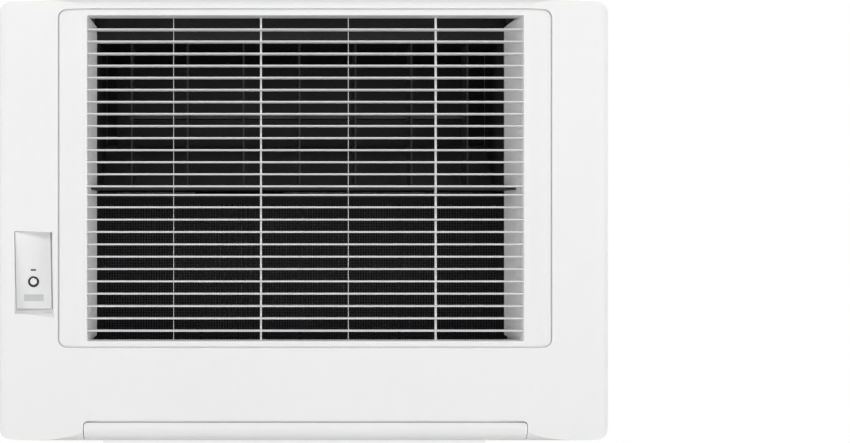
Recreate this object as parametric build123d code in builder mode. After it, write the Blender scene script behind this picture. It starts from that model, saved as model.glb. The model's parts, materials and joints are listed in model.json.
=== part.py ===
from build123d import *
import math
import os

os.makedirs("parts", exist_ok=True)

# Frame: +Z up, the front faces -Y, origin at the bottom centre of the whole unit. Millimetres.

# Whole unit
overall_depth = 640.0
front_y = -overall_depth / 2
rear_y = overall_depth / 2

# Side counts of hidden rounds and of thin tubes
wheel_sides = 24
drum_sides = 16
pin_sides = 8
nut_sides = 6
tube_sides = 6

# Front panel: a moulded shell with a flat middle and side margins that slope back
panel_width = 577.0
panel_height = 409.8
panel_depth = 80.0
panel_wall = 2.8
panel_lift = 1.6
side_margin = 87.5
flat_overlap = 4.0
edge_setback = 18.0
edge_radius = 12.0
blend_radius = 60.0
panel_corner_radius = 14.0
top_edge_radius = 10.0
bottom_edge_radius = 14.0
rim_depth = 4.0
rim_width = 7.0
panel_half = panel_width / 2
panel_back_y = front_y + panel_depth
panel_top_z = panel_lift + panel_height
opening_half = panel_half - side_margin
flat_half = opening_half + flat_overlap

# Grille: a snap-in moulding, flush in a ledge of the panel
grille_border = 26.0
grille_top_margin = 11.4
grille_bottom_margin = 89.4
grille_corner_radius = 6.0
grille_flange = 1.6
grille_gap = 1.8
ledge_wall = 2.8
ledge_width = 6.0
seat_gap = 0.3
grille_half = opening_half + grille_border
grille_high_z = panel_top_z - grille_top_margin
grille_low_z = panel_lift + grille_bottom_margin

# Air opening inside the grille, with a shallow lip all round and deep guides at its two sides
opening_edge = 4.7
opening_corner_radius = 1.6
grille_wall = 2.0
grille_wall_depth = 62.0
opening_high_z = grille_high_z - opening_edge
opening_low_z = grille_low_z + opening_edge
opening_mid_z = (opening_low_z + opening_high_z) / 2
opening_height = opening_high_z - opening_low_z
grille_back_y = front_y + grille_wall_depth

# Fixed blades: an outlet group above and an inlet group below
blade_chord = 12.0
blade_thickness = 2.4
blade_tail = 1.6
blade_nose = 1.6
blade_inset = 0.8
outlet_blade_count = 14
outlet_first_drop = 12.4
inlet_blade_count = 12
inlet_first_rise = 9.1
divider_rise = 138.5
divider_room = 4.0
wide_rib_width = 3.2
slim_rib_width = 1.4
rib_depth = 9.0
rib_count = 4
blade_front_y = front_y + blade_inset
blade_back_y = blade_front_y + blade_chord
divider_z = opening_low_z + divider_rise
outlet_top_blade_z = opening_high_z - outlet_first_drop
outlet_low_blade_z = divider_z + divider_room
inlet_top_blade_z = divider_z - divider_room
inlet_low_blade_z = opening_low_z + inlet_first_rise
outlet_blade_pitch = (outlet_top_blade_z - outlet_low_blade_z) / (outlet_blade_count - 1)
inlet_blade_pitch = (inlet_top_blade_z - inlet_low_blade_z) / (inlet_blade_count - 1)

# Air filter: slides down out of the panel's lower edge by its handle strip
filter_overlap = 3.0
filter_thickness = 6.0
filter_border = 9.0
filter_bar = 3.0
filter_column_count = 4
filter_row_count = 3
filter_top_drop = 2.0
mesh_thickness = 0.6
handle_height = 18.8
handle_wall = 2.6
handle_gap = 2.0
hook_rise = 3.2
hook_gap = 0.5
hook_foot = 5.0
hook_wall = 2.0
hook_inset = 9.0
handle_corner_radius = 3.0
guide_gap = 0.6
guide_wall = 3.0
guide_lip = 6.0
guide_foot_rise = 20.0
mesh_front_y = grille_back_y + guide_gap
filter_front_y = mesh_front_y + mesh_thickness
filter_back_y = filter_front_y + filter_thickness
filter_top_z = divider_z - filter_top_drop
filter_half = opening_half + filter_overlap
guide_half = filter_half + guide_gap
guide_foot_z = panel_lift + guide_foot_rise
handle_top_z = panel_lift + handle_height

# Receiver plate on the left margin, flush at its upper left and sunk at its lower right
plate_width = 33.0
plate_height = 72.6
plate_shift = 3.7
plate_rise = 158.1
plate_tilt = 4.7
plate_sink = 0.5
plate_gap = 0.6
pocket_step = 3.0
pocket_step_depth = 2.0
plate_flange = 1.6
plate_flange_thickness = 2.0
pocket_draft = 18.0
pocket_rise = 20.0
boss_wall = 3.0
boss_depth = 3.4
button_radius = 3.2
button_gap = 0.4
ring_width = 1.6
ring_proud = 0.3
ring_flange = 1.2
ring_collar_gap = 0.3
button_drop = 10.6
button_travel = 1.5
button_proud = 0.6
button_collar = 1.0
indicator_width = 5.0
indicator_height = 1.6
indicator_rise = 0.5
window_width = 18.4
window_height = 6.4
window_drop = 25.8
lens_thickness = 1.6
lens_collar = 0.8
board_standoff = 11.0
board_thickness = 1.6
board_margin = 1.0
board_rail_drop = 3.2
board_rail_rise = 4.8
switch_width = 6.0
lamp_height = 3.0
plate_x = -((grille_half + panel_half) / 2 - plate_shift)
plate_z = panel_lift + plate_rise

# Cabinet: a folded sheet sleeve, open at the front and rear
panel_side_overhang = 4.0
panel_top_overhang = 5.0
cabinet_wall = 1.2
cabinet_corner_radius = 6.0
cabinet_rear_margin = 20.0
louvre_length = 42.0
louvre_width = 5.0
louvre_pitch = 20.0
louvre_rows = 2
louvre_columns = 5
louvre_row_pitch = 60.0
louvre_rear_margin = 170.0
louvre_side_z = 215.0
mount_side_margin = 46.0
mount_end_margin = 60.0
mount_hole_radius = 3.5
cabinet_width = panel_width - 2 * panel_side_overhang
cabinet_height = panel_top_z - panel_top_overhang
cabinet_front_y = panel_back_y
cabinet_rear_y = rear_y - cabinet_rear_margin
cabinet_mid_y = (cabinet_front_y + cabinet_rear_y) / 2
cabinet_inner_half = cabinet_width / 2 - cabinet_wall
louvre_centre_y = cabinet_rear_y - louvre_rear_margin

# Cabinet screws, three on each side
screw_head_radius = 4.0
screw_head_height = 2.4
screw_radius = 1.9
screw_gap = 0.2
screw_pitch = 200.0
screw_count = 3
screw_z = 16.0

# Base pan that carries the chassis, and its drain nozzle
pan_gap = 5.0
pan_front_gap = 2.0
pan_wall = 1.2
pan_lip = 26.0
pan_corner_radius = 8.0
nozzle_x = 0.0
nozzle_z = 16.0
nozzle_radius = 8.0
nozzle_bore_radius = 5.5
nozzle_flange = 4.0
nozzle_flange_thickness = 2.0
pan_low_z = cabinet_wall
pan_floor_z = pan_low_z + pan_wall
pan_half = cabinet_inner_half - pan_gap
pan_front_y = cabinet_front_y + pan_front_gap
pan_rear_y = cabinet_rear_y

# Discharge duct with upright vanes
duct_wall = 2.4
duct_drop = 11.0
duct_rise = 4.0
duct_straight = 36.0
duct_neck_rise = 48.0
duct_back_room = 12.0
duct_seal_gap = 2.2
tongue_gap = 1.2
vane_count = 7
vane_side_room = 32.6
vane_chord = 22.0
vane_thickness = 1.6
vane_gap = 1.0
vane_pivot_radius = 2.0
vane_pivot_gap = 0.3
vane_pivot_inset = 16.0
vane_pivot_offset = 4.0
crank_radius = 13.0
crank_pin_radius = 1.0
link_thickness = 3.0
link_slot_gap = 0.7
link_arc_room = 2.4
link_wall = 2.0
link_notch_gap = 2.0
swing_motor_radius = 12.0
swing_motor_height = 14.0
swing_shaft_depth = 7.0
swing_ear_width = 8.0
swing_ear_length = 43.0
swing_ear_thickness = 2.0
duct_half = opening_half + grille_wall - duct_wall
duct_front_y = grille_back_y
duct_low_z = divider_z + duct_rise
duct_high_z = opening_high_z - duct_drop
duct_bend_y = duct_front_y + duct_straight
neck_low_z = duct_low_z + duct_neck_rise
vane_pivot_y = duct_front_y + vane_pivot_inset
vane_pitch = 2 * (duct_half - vane_side_room) / (vane_count - 1)

# Cooling coil and its drip tray
coil_overlap = 2.0
evaporator_depth = 32.0
evaporator_gap = 0.5
coil_top_gap = 7.4
tray_height = 16.0
tray_wall = 2.0
tray_margin = 4.0
coil_end_wall = 1.2
fin_groove = 3.4
fin_groove_depth = 11.0
evaporator_fin_count = 24
bend_diameter = 8.0
bend_sides = 8
evaporator_bend_count = 6
evaporator_bend_start = 75.0
evaporator_bend_end = 24.0
evaporator_half = filter_half + coil_overlap
evaporator_end_x = evaporator_half + coil_end_wall
evaporator_front_y = pan_front_y + tray_margin
evaporator_back_y = evaporator_front_y + evaporator_depth
evaporator_mid_y = (evaporator_front_y + evaporator_back_y) / 2
evaporator_low_z = pan_floor_z + tray_wall
evaporator_top_z = duct_low_z - duct_wall - coil_top_gap
evaporator_height = evaporator_top_z - evaporator_low_z
evaporator_bend_room = evaporator_height - evaporator_bend_start - evaporator_bend_end
evaporator_bend_pitch = evaporator_bend_room / (evaporator_bend_count - 1)
duct_back_y = evaporator_back_y + duct_back_room

# Blower for the room side, in its scroll behind the partition
fan_offset = 60.0
shaft_radius = 5.0
shaft_gap = 0.3
blower_radius = 92.0
blower_blade_depth = 16.0
blower_width = 66.0
blower_blade_count = 18
blower_blade_thickness = 1.6
blower_blade_lean = 35.0
blower_disc = 2.5
blower_ring = 4.0
blower_back_gap = 7.5
hub_radius = 14.0
hub_length = 22.0
inlet_overlap = 2.0
inlet_lip = 8.0
inlet_plate_wall = 2.5
partition_margin = 14.0
scroll_wall = 2.5
scroll_gap = 10.0
scroll_growth = 46.0
tongue_rise = 9.2
bulkhead_wall = 1.5
bulkhead_top_gap = 4.0
fan_x = -fan_offset
blower_inner_radius = blower_radius - blower_blade_depth
inlet_radius = blower_inner_radius + inlet_overlap
scroll_start_radius = blower_radius + scroll_gap
fan_z = neck_low_z - tongue_rise - scroll_start_radius
plate_front_y = duct_back_y
scroll_front_y = plate_front_y + inlet_plate_wall
scroll_depth = inlet_lip + blower_width + blower_back_gap + scroll_wall
bulkhead_y = scroll_front_y + scroll_depth
bulkhead_half = pan_half - pan_wall - seat_gap
bulkhead_top_z = cabinet_height - cabinet_wall - bulkhead_top_gap

# Condenser
condenser_depth = 38.0
condenser_rear_margin = 8.0
condenser_top_gap = 14.4
condenser_side_gap = 0.9
condenser_fin_count = 30
condenser_bend_count = 11
condenser_bend_start = 75.0
condenser_bend_end = 17.6
discharge_drop = 43.4
condenser_back_y = cabinet_rear_y - condenser_rear_margin
condenser_front_y = condenser_back_y - condenser_depth
condenser_mid_y = (condenser_front_y + condenser_back_y) / 2
condenser_low_z = pan_floor_z
condenser_top_z = cabinet_height - cabinet_wall - condenser_top_gap
discharge_z = condenser_top_z - discharge_drop
condenser_bend_room = discharge_z - condenser_low_z - condenser_bend_start - condenser_bend_end
condenser_bend_pitch = condenser_bend_room / (condenser_bend_count - 1)
condenser_bend_reach = (condenser_bend_pitch + bend_diameter) / 2
condenser_end_x = pan_half - pan_wall - condenser_side_gap - condenser_bend_reach
condenser_half = condenser_end_x - coil_end_wall

# Fan motor and the propeller for the outdoor side
motor_radius = 52.0
motor_length = 112.0
motor_edge = 6.0
motor_nose_radius = 20.0
motor_nose_length = 8.0
motor_front_gap = 6.0
motor_bracket_wall = 2.5
motor_bracket_width = 44.0
motor_bracket_spread = 22.0
propeller_radius = 140.0
propeller_hub_radius = 32.0
propeller_hub_length = 40.0
propeller_hub_wall = 3.0
propeller_inset = 10.0
propeller_blade_count = 4
propeller_blade_thickness = 2.6
propeller_pitch_angle = 28.0
propeller_blade_width = 42.0
propeller_root_width = 54.0
slinger_width = 12.0
slinger_wall = 3.0
slinger_bite = 2.0
orifice_gap = 6.0
orifice_lip = 16.0
shroud_wall = 2.0
shroud_depth = 60.0
motor_front_y = bulkhead_y + bulkhead_wall + motor_front_gap + motor_nose_length
motor_back_y = motor_front_y + motor_length
shroud_back_y = condenser_front_y
shroud_front_y = shroud_back_y - shroud_depth
propeller_y = shroud_front_y + propeller_inset
propeller_back_y = propeller_y + propeller_hub_length
propeller_mid_y = propeller_y + propeller_hub_length / 2

# Compressor on rubber feet, with its suction accumulator
compressor_wall_room = 102.8
compressor_front_room = 122.0
compressor_radius = 60.0
compressor_height = 238.0
compressor_dome = 25.0
compressor_foot_height = 16.0
compressor_lift = 8.0
foot_reach = 22.0
foot_plate_wall = 4.0
grommet_radius = 11.0
stud_radius = 4.0
stud_gap = 0.3
stud_proud = 12.0
nut_radius = 6.8
nut_height = 6.4
accumulator_radius = 22.0
accumulator_height = 120.0
accumulator_gap = 6.0
accumulator_rise = 60.0
accumulator_turn = 30.0
compressor_x = cabinet_inner_half - compressor_wall_room
compressor_y = bulkhead_y + bulkhead_wall + compressor_front_room
compressor_foot_radius = compressor_radius + foot_reach

# Refrigerant pipes
pipe_diameter = 10.0
liquid_pipe_diameter = 7.0
pipe_bend = 10.0
pipe_hole_gap = 1.5
suction_offset = 32.0
suction_high_z = 320.0
liquid_offset = 12.0
liquid_z = 38.0
drier_radius = 9.0
drier_length = 80.0
suction_x = evaporator_end_x + suction_offset
suction_low_z = evaporator_low_z + evaporator_bend_start + 2 * evaporator_bend_pitch
liquid_x = -(condenser_end_x + liquid_offset)

# Control box between the partition and the cabinet's left wall
control_box_width = 44.0
control_box_depth = 90.0
control_box_height = 190.0
control_box_wall = 1.2
control_box_low_z = 66.0
control_side_gap = 5.6
control_board_height = 70.0
control_board_margin = 10.0
relay_width = 14.0
relay_height = 19.0
relay_depth = 15.0
relay_pitch_y = 22.0
relay_pitch_z = 26.0
relay_columns = 3
relay_rows = 2
capacitor_gap = 0.8
capacitor_height = 86.0
terminal_pitch = 20.0
terminal_width = 1.7
terminal_depth = 6.7
terminal_height = 10.0

# Cord gland in the panel's lower wall
gland_side_room = 40.0
gland_front_room = 48.0
gland_radius = 9.0
gland_bore_radius = 4.5
gland_length = 14.0
gland_flange = 3.0
gland_flange_thickness = 1.6
gland_seat_gap = 0.2
gland_x = panel_half - gland_side_room
gland_y = front_y + gland_front_room


def block(low, high, mode=Mode.ADD):
    """Add a block between two opposite corners to the part that is being built."""
    size = [b - a for a, b in zip(low, high)]
    centre = tuple((a + b) / 2 for a, b in zip(low, high))
    with Locations(centre):
        Box(*size, mode=mode)


def finish(part, name):
    """Label a finished piece and write it."""
    part.label = name
    export_step(part, f"parts/{name}.step")


def panel_form(inset):
    """The panel's outer form drawn in by a wall: three crossed profiles, solid and flat at the back."""
    half = panel_half - inset
    face = front_y + inset
    low = panel_lift + inset
    high = panel_top_z - inset
    corner = (half, face + edge_setback)
    radii = [edge_radius, blend_radius, blend_radius, edge_radius]
    with BuildPart() as form:
        with BuildSketch(Plane.XY.offset(low)):
            with BuildLine():
                FilletPolyline(
                    (-half, panel_back_y),
                    (-corner[0], corner[1]),
                    (-flat_half, face),
                    (flat_half, face),
                    corner,
                    (half, panel_back_y),
                    radius=radii,
                )
                Line((half, panel_back_y), (-half, panel_back_y))
            make_face()
        extrude(amount=high - low)
        with BuildSketch(Plane.XZ.offset(-panel_back_y)):
            with Locations((0, (low + high) / 2)):
                RectangleRounded(2 * half, high - low, panel_corner_radius - inset)
        extrude(amount=panel_depth, mode=Mode.INTERSECT)
        with BuildSketch(Plane.YZ.offset(-half)):
            with BuildLine():
                FilletPolyline(
                    (panel_back_y, high),
                    (face, high),
                    (face, low),
                    (panel_back_y, low),
                    radius=[top_edge_radius, bottom_edge_radius],
                )
                Line((panel_back_y, low), (panel_back_y, high))
            make_face()
        extrude(amount=2 * half, mode=Mode.INTERSECT)
    return form.part


def form_layer(front_inset, back_inset, half_width, low, high, radius):
    """A layer of the panel's form between two depths, inside a rounded window."""
    front = panel_form(front_inset)
    back = panel_form(back_inset)
    with BuildPart() as layer:
        add(front)
        add(back, mode=Mode.SUBTRACT)
        with BuildSketch(Plane.XZ.offset(-panel_back_y)):
            with Locations((0, (low + high) / 2)):
                RectangleRounded(2 * half_width, high - low, radius)
        extrude(amount=panel_depth, mode=Mode.INTERSECT)
    return layer.part


# The receiver plate's own plane: it faces the room and a little down, and the margin slopes past it
margin_slope = edge_setback / (panel_half - flat_half)
plate_left_y = front_y + (-(plate_x - plate_width / 2) - flat_half) * margin_slope
plate_lean = math.radians(plate_tilt)
plate_centre_y = plate_left_y + plate_sink + plate_height / 2 * math.sin(plate_lean)
plate_plane = Plane(
    origin=(plate_x, plate_centre_y, plate_z),
    x_dir=(1, 0, 0),
    z_dir=(0, -math.cos(plate_lean), -math.sin(plate_lean)),
)

# Front panel
outer_form = panel_form(0)
inner_form = panel_form(panel_wall)
ledge_half = grille_half + grille_gap
ledge_pad = form_layer(
    panel_wall,
    panel_wall + ledge_wall,
    ledge_half + ledge_width,
    grille_low_z - grille_gap - ledge_width,
    grille_high_z + grille_gap,
    grille_corner_radius,
)
ledge_cut = form_layer(
    0,
    grille_flange + seat_gap,
    ledge_half,
    grille_low_z - grille_gap,
    grille_high_z + grille_gap,
    grille_corner_radius + grille_gap,
)
draft_run = pocket_rise * math.tan(math.radians(pocket_draft))
pocket_width = plate_width + 2 * plate_gap
pocket_height = plate_height + 2 * plate_gap
with BuildPart() as plate_boss:
    with BuildSketch(plate_plane.offset(-boss_depth)):
        with Locations((draft_run / 2, -draft_run / 2)):
            Rectangle(pocket_width + draft_run + 2 * boss_wall, pocket_height + draft_run + 2 * boss_wall)
    extrude(amount=boss_depth + pocket_rise)
    add(outer_form, mode=Mode.INTERSECT)
with BuildPart() as plate_pocket:
    with BuildSketch(plate_plane):
        Rectangle(pocket_width, pocket_height)
    with BuildSketch(plate_plane.offset(pocket_rise)):
        with Locations((draft_run / 2, -draft_run / 2)):
            Rectangle(pocket_width + draft_run, pocket_height + draft_run)
    loft()
    with BuildSketch(plate_plane):
        Rectangle(pocket_width, pocket_height)
    extrude(amount=-boss_depth)
    with BuildSketch(plate_plane.offset(-pocket_step_depth)):
        with Locations((pocket_step / 2, -pocket_step / 2)):
            Rectangle(pocket_width + pocket_step, pocket_height + pocket_step)
    extrude(amount=pocket_step_depth + pocket_rise / 2)
window_half = opening_half + grille_wall + grille_gap
handle_cut_top_z = handle_top_z + handle_gap
handle_cut_radius = handle_corner_radius + handle_gap
guide_front_y = front_y + panel_wall + ledge_wall
guide_back_y = filter_back_y + guide_gap
with BuildPart() as front_panel:
    add(outer_form)
    add(inner_form, mode=Mode.SUBTRACT)
    add(ledge_pad)
    with BuildSketch(Plane.XZ.offset(-panel_back_y)):
        with Locations((0, panel_lift + panel_height / 2)):
            RectangleRounded(panel_width, panel_height, panel_corner_radius)
            RectangleRounded(
                panel_width - 2 * rim_width,
                panel_height - 2 * rim_width,
                panel_corner_radius - rim_width,
                mode=Mode.SUBTRACT,
            )
    extrude(amount=rim_depth)
    add(plate_boss.part)
    add(plate_pocket.part, mode=Mode.SUBTRACT)
    add(ledge_cut, mode=Mode.SUBTRACT)
    block(
        (-window_half, front_y, opening_low_z - grille_wall - grille_gap),
        (window_half, panel_back_y - rim_depth, opening_high_z + grille_wall + grille_gap),
        mode=Mode.SUBTRACT,
    )
    for side in (-1, 1):
        web_near, web_far = sorted((side * guide_half, side * (guide_half + guide_wall)))
        lip_near, lip_far = sorted((side * (guide_half - guide_lip), side * (guide_half + guide_wall)))
        block((web_near, guide_front_y, guide_foot_z), (web_far, guide_back_y, filter_top_z))
        block((lip_near, guide_back_y, guide_foot_z), (lip_far, guide_back_y + guide_wall, filter_top_z))
    with BuildSketch(Plane.XZ.offset(-guide_back_y)):
        with Locations((0, panel_lift)):
            RectangleRounded(2 * guide_half, 2 * (handle_cut_top_z - panel_lift), handle_cut_radius)
    extrude(amount=panel_depth, mode=Mode.SUBTRACT)
    with BuildSketch(Plane.XY.offset(panel_lift)):
        with Locations((gland_x, gland_y)):
            RegularPolygon(gland_radius + gland_seat_gap, drum_sides)
    extrude(amount=panel_wall, mode=Mode.SUBTRACT)
finish(front_panel.part, "front_panel")

# Front grille: a face flush with the panel, a lip round the opening, level blades and upright ribs
grille_face = form_layer(0, grille_flange, grille_half, grille_low_z, grille_high_z, grille_corner_radius)
blade_levels = [outlet_top_blade_z - i * outlet_blade_pitch for i in range(outlet_blade_count)]
blade_levels += [inlet_low_blade_z + i * inlet_blade_pitch for i in range(inlet_blade_count)]
rib_xs = [(2 * (i + 1) / (rib_count + 1) - 1) * opening_half for i in range(rib_count)]
lip_low_z = opening_low_z - grille_wall
lip_high_z = opening_high_z + grille_wall
with BuildPart() as front_grille:
    add(grille_face)
    with BuildSketch(Plane.XZ.offset(-blade_back_y)):
        with Locations((0, opening_mid_z)):
            Rectangle(2 * (opening_half + grille_wall), lip_high_z - lip_low_z)
    extrude(amount=blade_back_y - front_y - grille_flange)
    with BuildSketch(Plane.XZ.offset(-blade_back_y)):
        with Locations((0, opening_mid_z)):
            RectangleRounded(2 * opening_half, opening_height, opening_corner_radius)
    extrude(amount=blade_back_y - front_y, mode=Mode.SUBTRACT)
    with BuildSketch(Plane.YZ.offset(-opening_half)):
        for level in blade_levels:
            with BuildLine():
                Polyline(
                    (blade_front_y, level),
                    (blade_front_y + blade_nose, level + blade_thickness / 2),
                    (blade_back_y, level + blade_tail / 2),
                    (blade_back_y, level - blade_tail / 2),
                    (blade_front_y + blade_nose, level - blade_thickness / 2),
                    close=True,
                )
            make_face()
    extrude(amount=2 * opening_half)
    for i, x in enumerate(rib_xs):
        half = wide_rib_width / 2 if i % 2 else slim_rib_width / 2
        block((x - half, blade_back_y, lip_low_z), (x + half, blade_back_y + rib_depth, lip_high_z))
finish(front_grille.part, "front_grille")

# Side guides: two plates behind the grille's lip that lead the air
with BuildPart() as side_guides:
    for side in (-1, 1):
        near, far = sorted((side * opening_half, side * (opening_half + grille_wall)))
        block((near, blade_back_y, lip_low_z), (far, grille_back_y, lip_high_z))
finish(side_guides.part, "grille_side_guides")

# Air filter: the handle strip in the panel's lower edge, the frame behind it and the net on the frame
handle_strip = form_layer(
    0,
    handle_wall,
    filter_half,
    2 * panel_lift - handle_top_z,
    handle_top_z,
    handle_corner_radius,
)
hook_half = filter_half - hook_inset
hook_front_y = front_y + panel_wall + hook_gap
hook_back_y = hook_front_y + hook_wall
with BuildPart() as filter_handle:
    add(handle_strip)
    block(
        (-panel_half, filter_front_y, panel_lift),
        (panel_half, panel_back_y, handle_top_z),
        mode=Mode.SUBTRACT,
    )
    block(
        (-hook_half, front_y + handle_wall / 2, handle_top_z - hook_foot),
        (hook_half, hook_back_y, handle_top_z),
    )
    block(
        (-hook_half, hook_front_y, handle_top_z),
        (hook_half, hook_back_y, handle_top_z + hook_rise),
    )
finish(filter_handle.part, "filter_handle")

cell_width = (2 * (filter_half - filter_border) + filter_bar) / filter_column_count
cell_height = (filter_top_z - handle_top_z - 2 * filter_border + filter_bar) / filter_row_count
filter_mid_z = (handle_top_z + filter_top_z) / 2
with BuildPart() as air_filter:
    block((-filter_half, filter_front_y, panel_lift), (filter_half, filter_back_y, filter_top_z))
    with BuildSketch(Plane.XZ.offset(-filter_back_y)):
        with Locations((0, filter_mid_z)):
            with GridLocations(cell_width, cell_height, filter_column_count, filter_row_count):
                Rectangle(cell_width - filter_bar, cell_height - filter_bar)
    extrude(amount=filter_thickness, mode=Mode.SUBTRACT)
finish(air_filter.part, "air_filter_frame")

with BuildPart() as filter_mesh:
    block(
        (-filter_half + filter_bar, mesh_front_y, handle_top_z + filter_bar),
        (filter_half - filter_bar, filter_front_y, filter_top_z - filter_bar),
    )
finish(filter_mesh.part, "air_filter_mesh")

# Receiver plate with its button in a ring, indicator and window
ring_bore_radius = button_radius + button_gap
ring_radius = ring_bore_radius + ring_width
collar_radius = ring_bore_radius + button_collar
with BuildPart() as receiver_plate:
    with BuildSketch(plate_plane):
        Rectangle(plate_width, plate_height)
        with Locations((0, -button_drop)):
            RegularPolygon(ring_radius, wheel_sides, mode=Mode.SUBTRACT)
        with Locations((0, indicator_rise)):
            Rectangle(indicator_width, indicator_height, mode=Mode.SUBTRACT)
        with Locations((0, -window_drop)):
            Rectangle(window_width, window_height, mode=Mode.SUBTRACT)
    extrude(amount=-boss_depth)
    with BuildSketch(plate_plane.offset(-boss_depth)):
        Rectangle(plate_width + 2 * plate_flange, plate_height + 2 * plate_flange)
        Rectangle(plate_width - 2 * plate_flange, plate_height - 2 * plate_flange, mode=Mode.SUBTRACT)
    extrude(amount=-plate_flange_thickness)
    with BuildSketch(plate_plane.offset(-boss_depth)):
        with Locations((0, plate_height / 2 - board_rail_drop), (0, board_rail_rise)):
            Rectangle(plate_width - 2 * plate_flange, plate_flange)
    extrude(amount=boss_depth - board_standoff)
finish(receiver_plate.part, "receiver_plate")

with BuildPart() as power_button:
    with BuildSketch(plate_plane.offset(button_proud)):
        with Locations((0, -button_drop)):
            Circle(button_radius)
    extrude(amount=-(button_proud + boss_depth))
    with BuildSketch(plate_plane.offset(-boss_depth)):
        with Locations((0, -button_drop)):
            RegularPolygon(collar_radius, drum_sides)
    extrude(amount=-lens_thickness)
finish(power_button.part, "power_button")

with BuildPart() as button_ring:
    with BuildSketch(plate_plane.offset(ring_proud)):
        with Locations((0, -button_drop)):
            RegularPolygon(ring_radius, wheel_sides)
            RegularPolygon(ring_bore_radius, wheel_sides, mode=Mode.SUBTRACT)
    extrude(amount=-(ring_proud + boss_depth))
    with BuildSketch(plate_plane.offset(-boss_depth)):
        with Locations((0, -button_drop)):
            RegularPolygon(ring_radius + ring_flange, drum_sides)
            RegularPolygon(collar_radius + ring_collar_gap, drum_sides, mode=Mode.SUBTRACT)
    extrude(amount=-lens_thickness)
finish(button_ring.part, "button_ring")

for name, width, height, rise in (
    ("indicator_lens", indicator_width, indicator_height, indicator_rise),
    ("receiver_window", window_width, window_height, -window_drop),
):
    with BuildPart() as lens:
        with BuildSketch(plate_plane):
            with Locations((0, rise)):
                Rectangle(width, height)
        extrude(amount=-boss_depth)
        with BuildSketch(plate_plane.offset(-boss_depth)):
            with Locations((0, rise)):
                Rectangle(width + 2 * lens_collar, height + 2 * lens_collar)
        extrude(amount=-lens_thickness)
    finish(lens.part, name)

switch_depth = board_standoff - boss_depth - lens_thickness - button_travel
with BuildPart() as display_board:
    with BuildSketch(plate_plane.offset(-board_standoff)):
        Rectangle(plate_width - 2 * board_margin, plate_height - 2 * board_margin)
    extrude(amount=-board_thickness)
    with BuildSketch(plate_plane.offset(-board_standoff)):
        with Locations((0, -button_drop)):
            Rectangle(switch_width, switch_width)
        with Locations((0, indicator_rise)):
            Rectangle(indicator_width, lamp_height)
        with Locations((0, -window_drop)):
            Rectangle(window_height, window_height)
    extrude(amount=switch_depth)
finish(display_board.part, "display_board")

# Discharge duct: a straight front part, a neck that rises to the scroll's outlet, a seal flange above
# and a tongue that parts the two air streams behind the grille
vane_xs = [(i - (vane_count - 1) / 2) * vane_pitch for i in range(vane_count)]
drive_vane = vane_count // 2
tongue_front_y = blade_back_y + rib_depth + tongue_gap
duct_seal_z = panel_top_z - panel_wall - duct_seal_gap
with BuildPart() as air_duct:
    for grow, mode in ((duct_wall, Mode.ADD), (0, Mode.SUBTRACT)):
        low = duct_low_z - grow
        high = duct_high_z + grow
        width = 2 * (duct_half + grow)
        block((-width / 2, duct_front_y, low), (width / 2, duct_bend_y, high), mode=mode)
        with BuildSketch(Plane.XZ.offset(-duct_bend_y)):
            with Locations((0, (low + high) / 2)):
                Rectangle(width, high - low)
        with BuildSketch(Plane.XZ.offset(-duct_back_y)):
            with Locations((0, (neck_low_z - grow + high) / 2)):
                Rectangle(width, high - neck_low_z + grow)
        loft(mode=mode)
    block(
        (-duct_half - duct_wall, duct_front_y, duct_high_z),
        (duct_half + duct_wall, duct_front_y + duct_wall, duct_seal_z),
    )
    block((-duct_half, tongue_front_y, duct_low_z - duct_wall), (duct_half, duct_front_y, duct_low_z))
    with BuildSketch(Plane.XY.offset(duct_low_z - duct_wall)):
        with Locations(*[(x, vane_pivot_y) for x in vane_xs]):
            RegularPolygon(vane_pivot_radius + vane_pivot_gap, pin_sides)
    extrude(amount=duct_high_z - duct_low_z + 2 * duct_wall, mode=Mode.SUBTRACT)
finish(air_duct.part, "air_duct")

# Upright vanes on pivots, with a crank pin in a notch for the link bar
vane_low_z = duct_low_z + vane_gap
vane_high_z = duct_high_z - vane_gap
crank_y = vane_pivot_y + crank_radius
link_z = (vane_low_z + vane_high_z) / 2
slot_half = crank_pin_radius + link_slot_gap
link_front_y = crank_y - slot_half - link_arc_room - link_wall
link_back_y = crank_y + slot_half + link_wall
notch_half = link_thickness / 2 + link_notch_gap
vane_front_y = vane_pivot_y - vane_pivot_offset
vane_back_y = vane_front_y + vane_chord
motor_seat_z = duct_high_z + duct_wall
for index, x in enumerate(vane_xs):
    top_z = motor_seat_z + (swing_shaft_depth if index == drive_vane else 0)
    with BuildPart() as vane:
        block(
            (x - vane_thickness / 2, vane_front_y, vane_low_z),
            (x + vane_thickness / 2, vane_back_y, vane_high_z),
        )
        block(
            (x - vane_pivot_radius, link_front_y - link_notch_gap, link_z - notch_half),
            (x + vane_pivot_radius, vane_back_y, link_z + notch_half),
            mode=Mode.SUBTRACT,
        )
        with BuildSketch(Plane.XY.offset(link_z - notch_half)):
            with Locations((x, crank_y)):
                RegularPolygon(crank_pin_radius, pin_sides)
        extrude(amount=2 * notch_half)
        with BuildSketch(Plane.XY.offset(duct_low_z - duct_wall)):
            with Locations((x, vane_pivot_y)):
                RegularPolygon(vane_pivot_radius, pin_sides)
        extrude(amount=duct_wall + vane_gap)
        with BuildSketch(Plane.XY.offset(vane_high_z)):
            with Locations((x, vane_pivot_y)):
                RegularPolygon(vane_pivot_radius, pin_sides)
        extrude(amount=top_z - vane_high_z)
    finish(vane.part, f"air_vane_{index + 1}")

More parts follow.
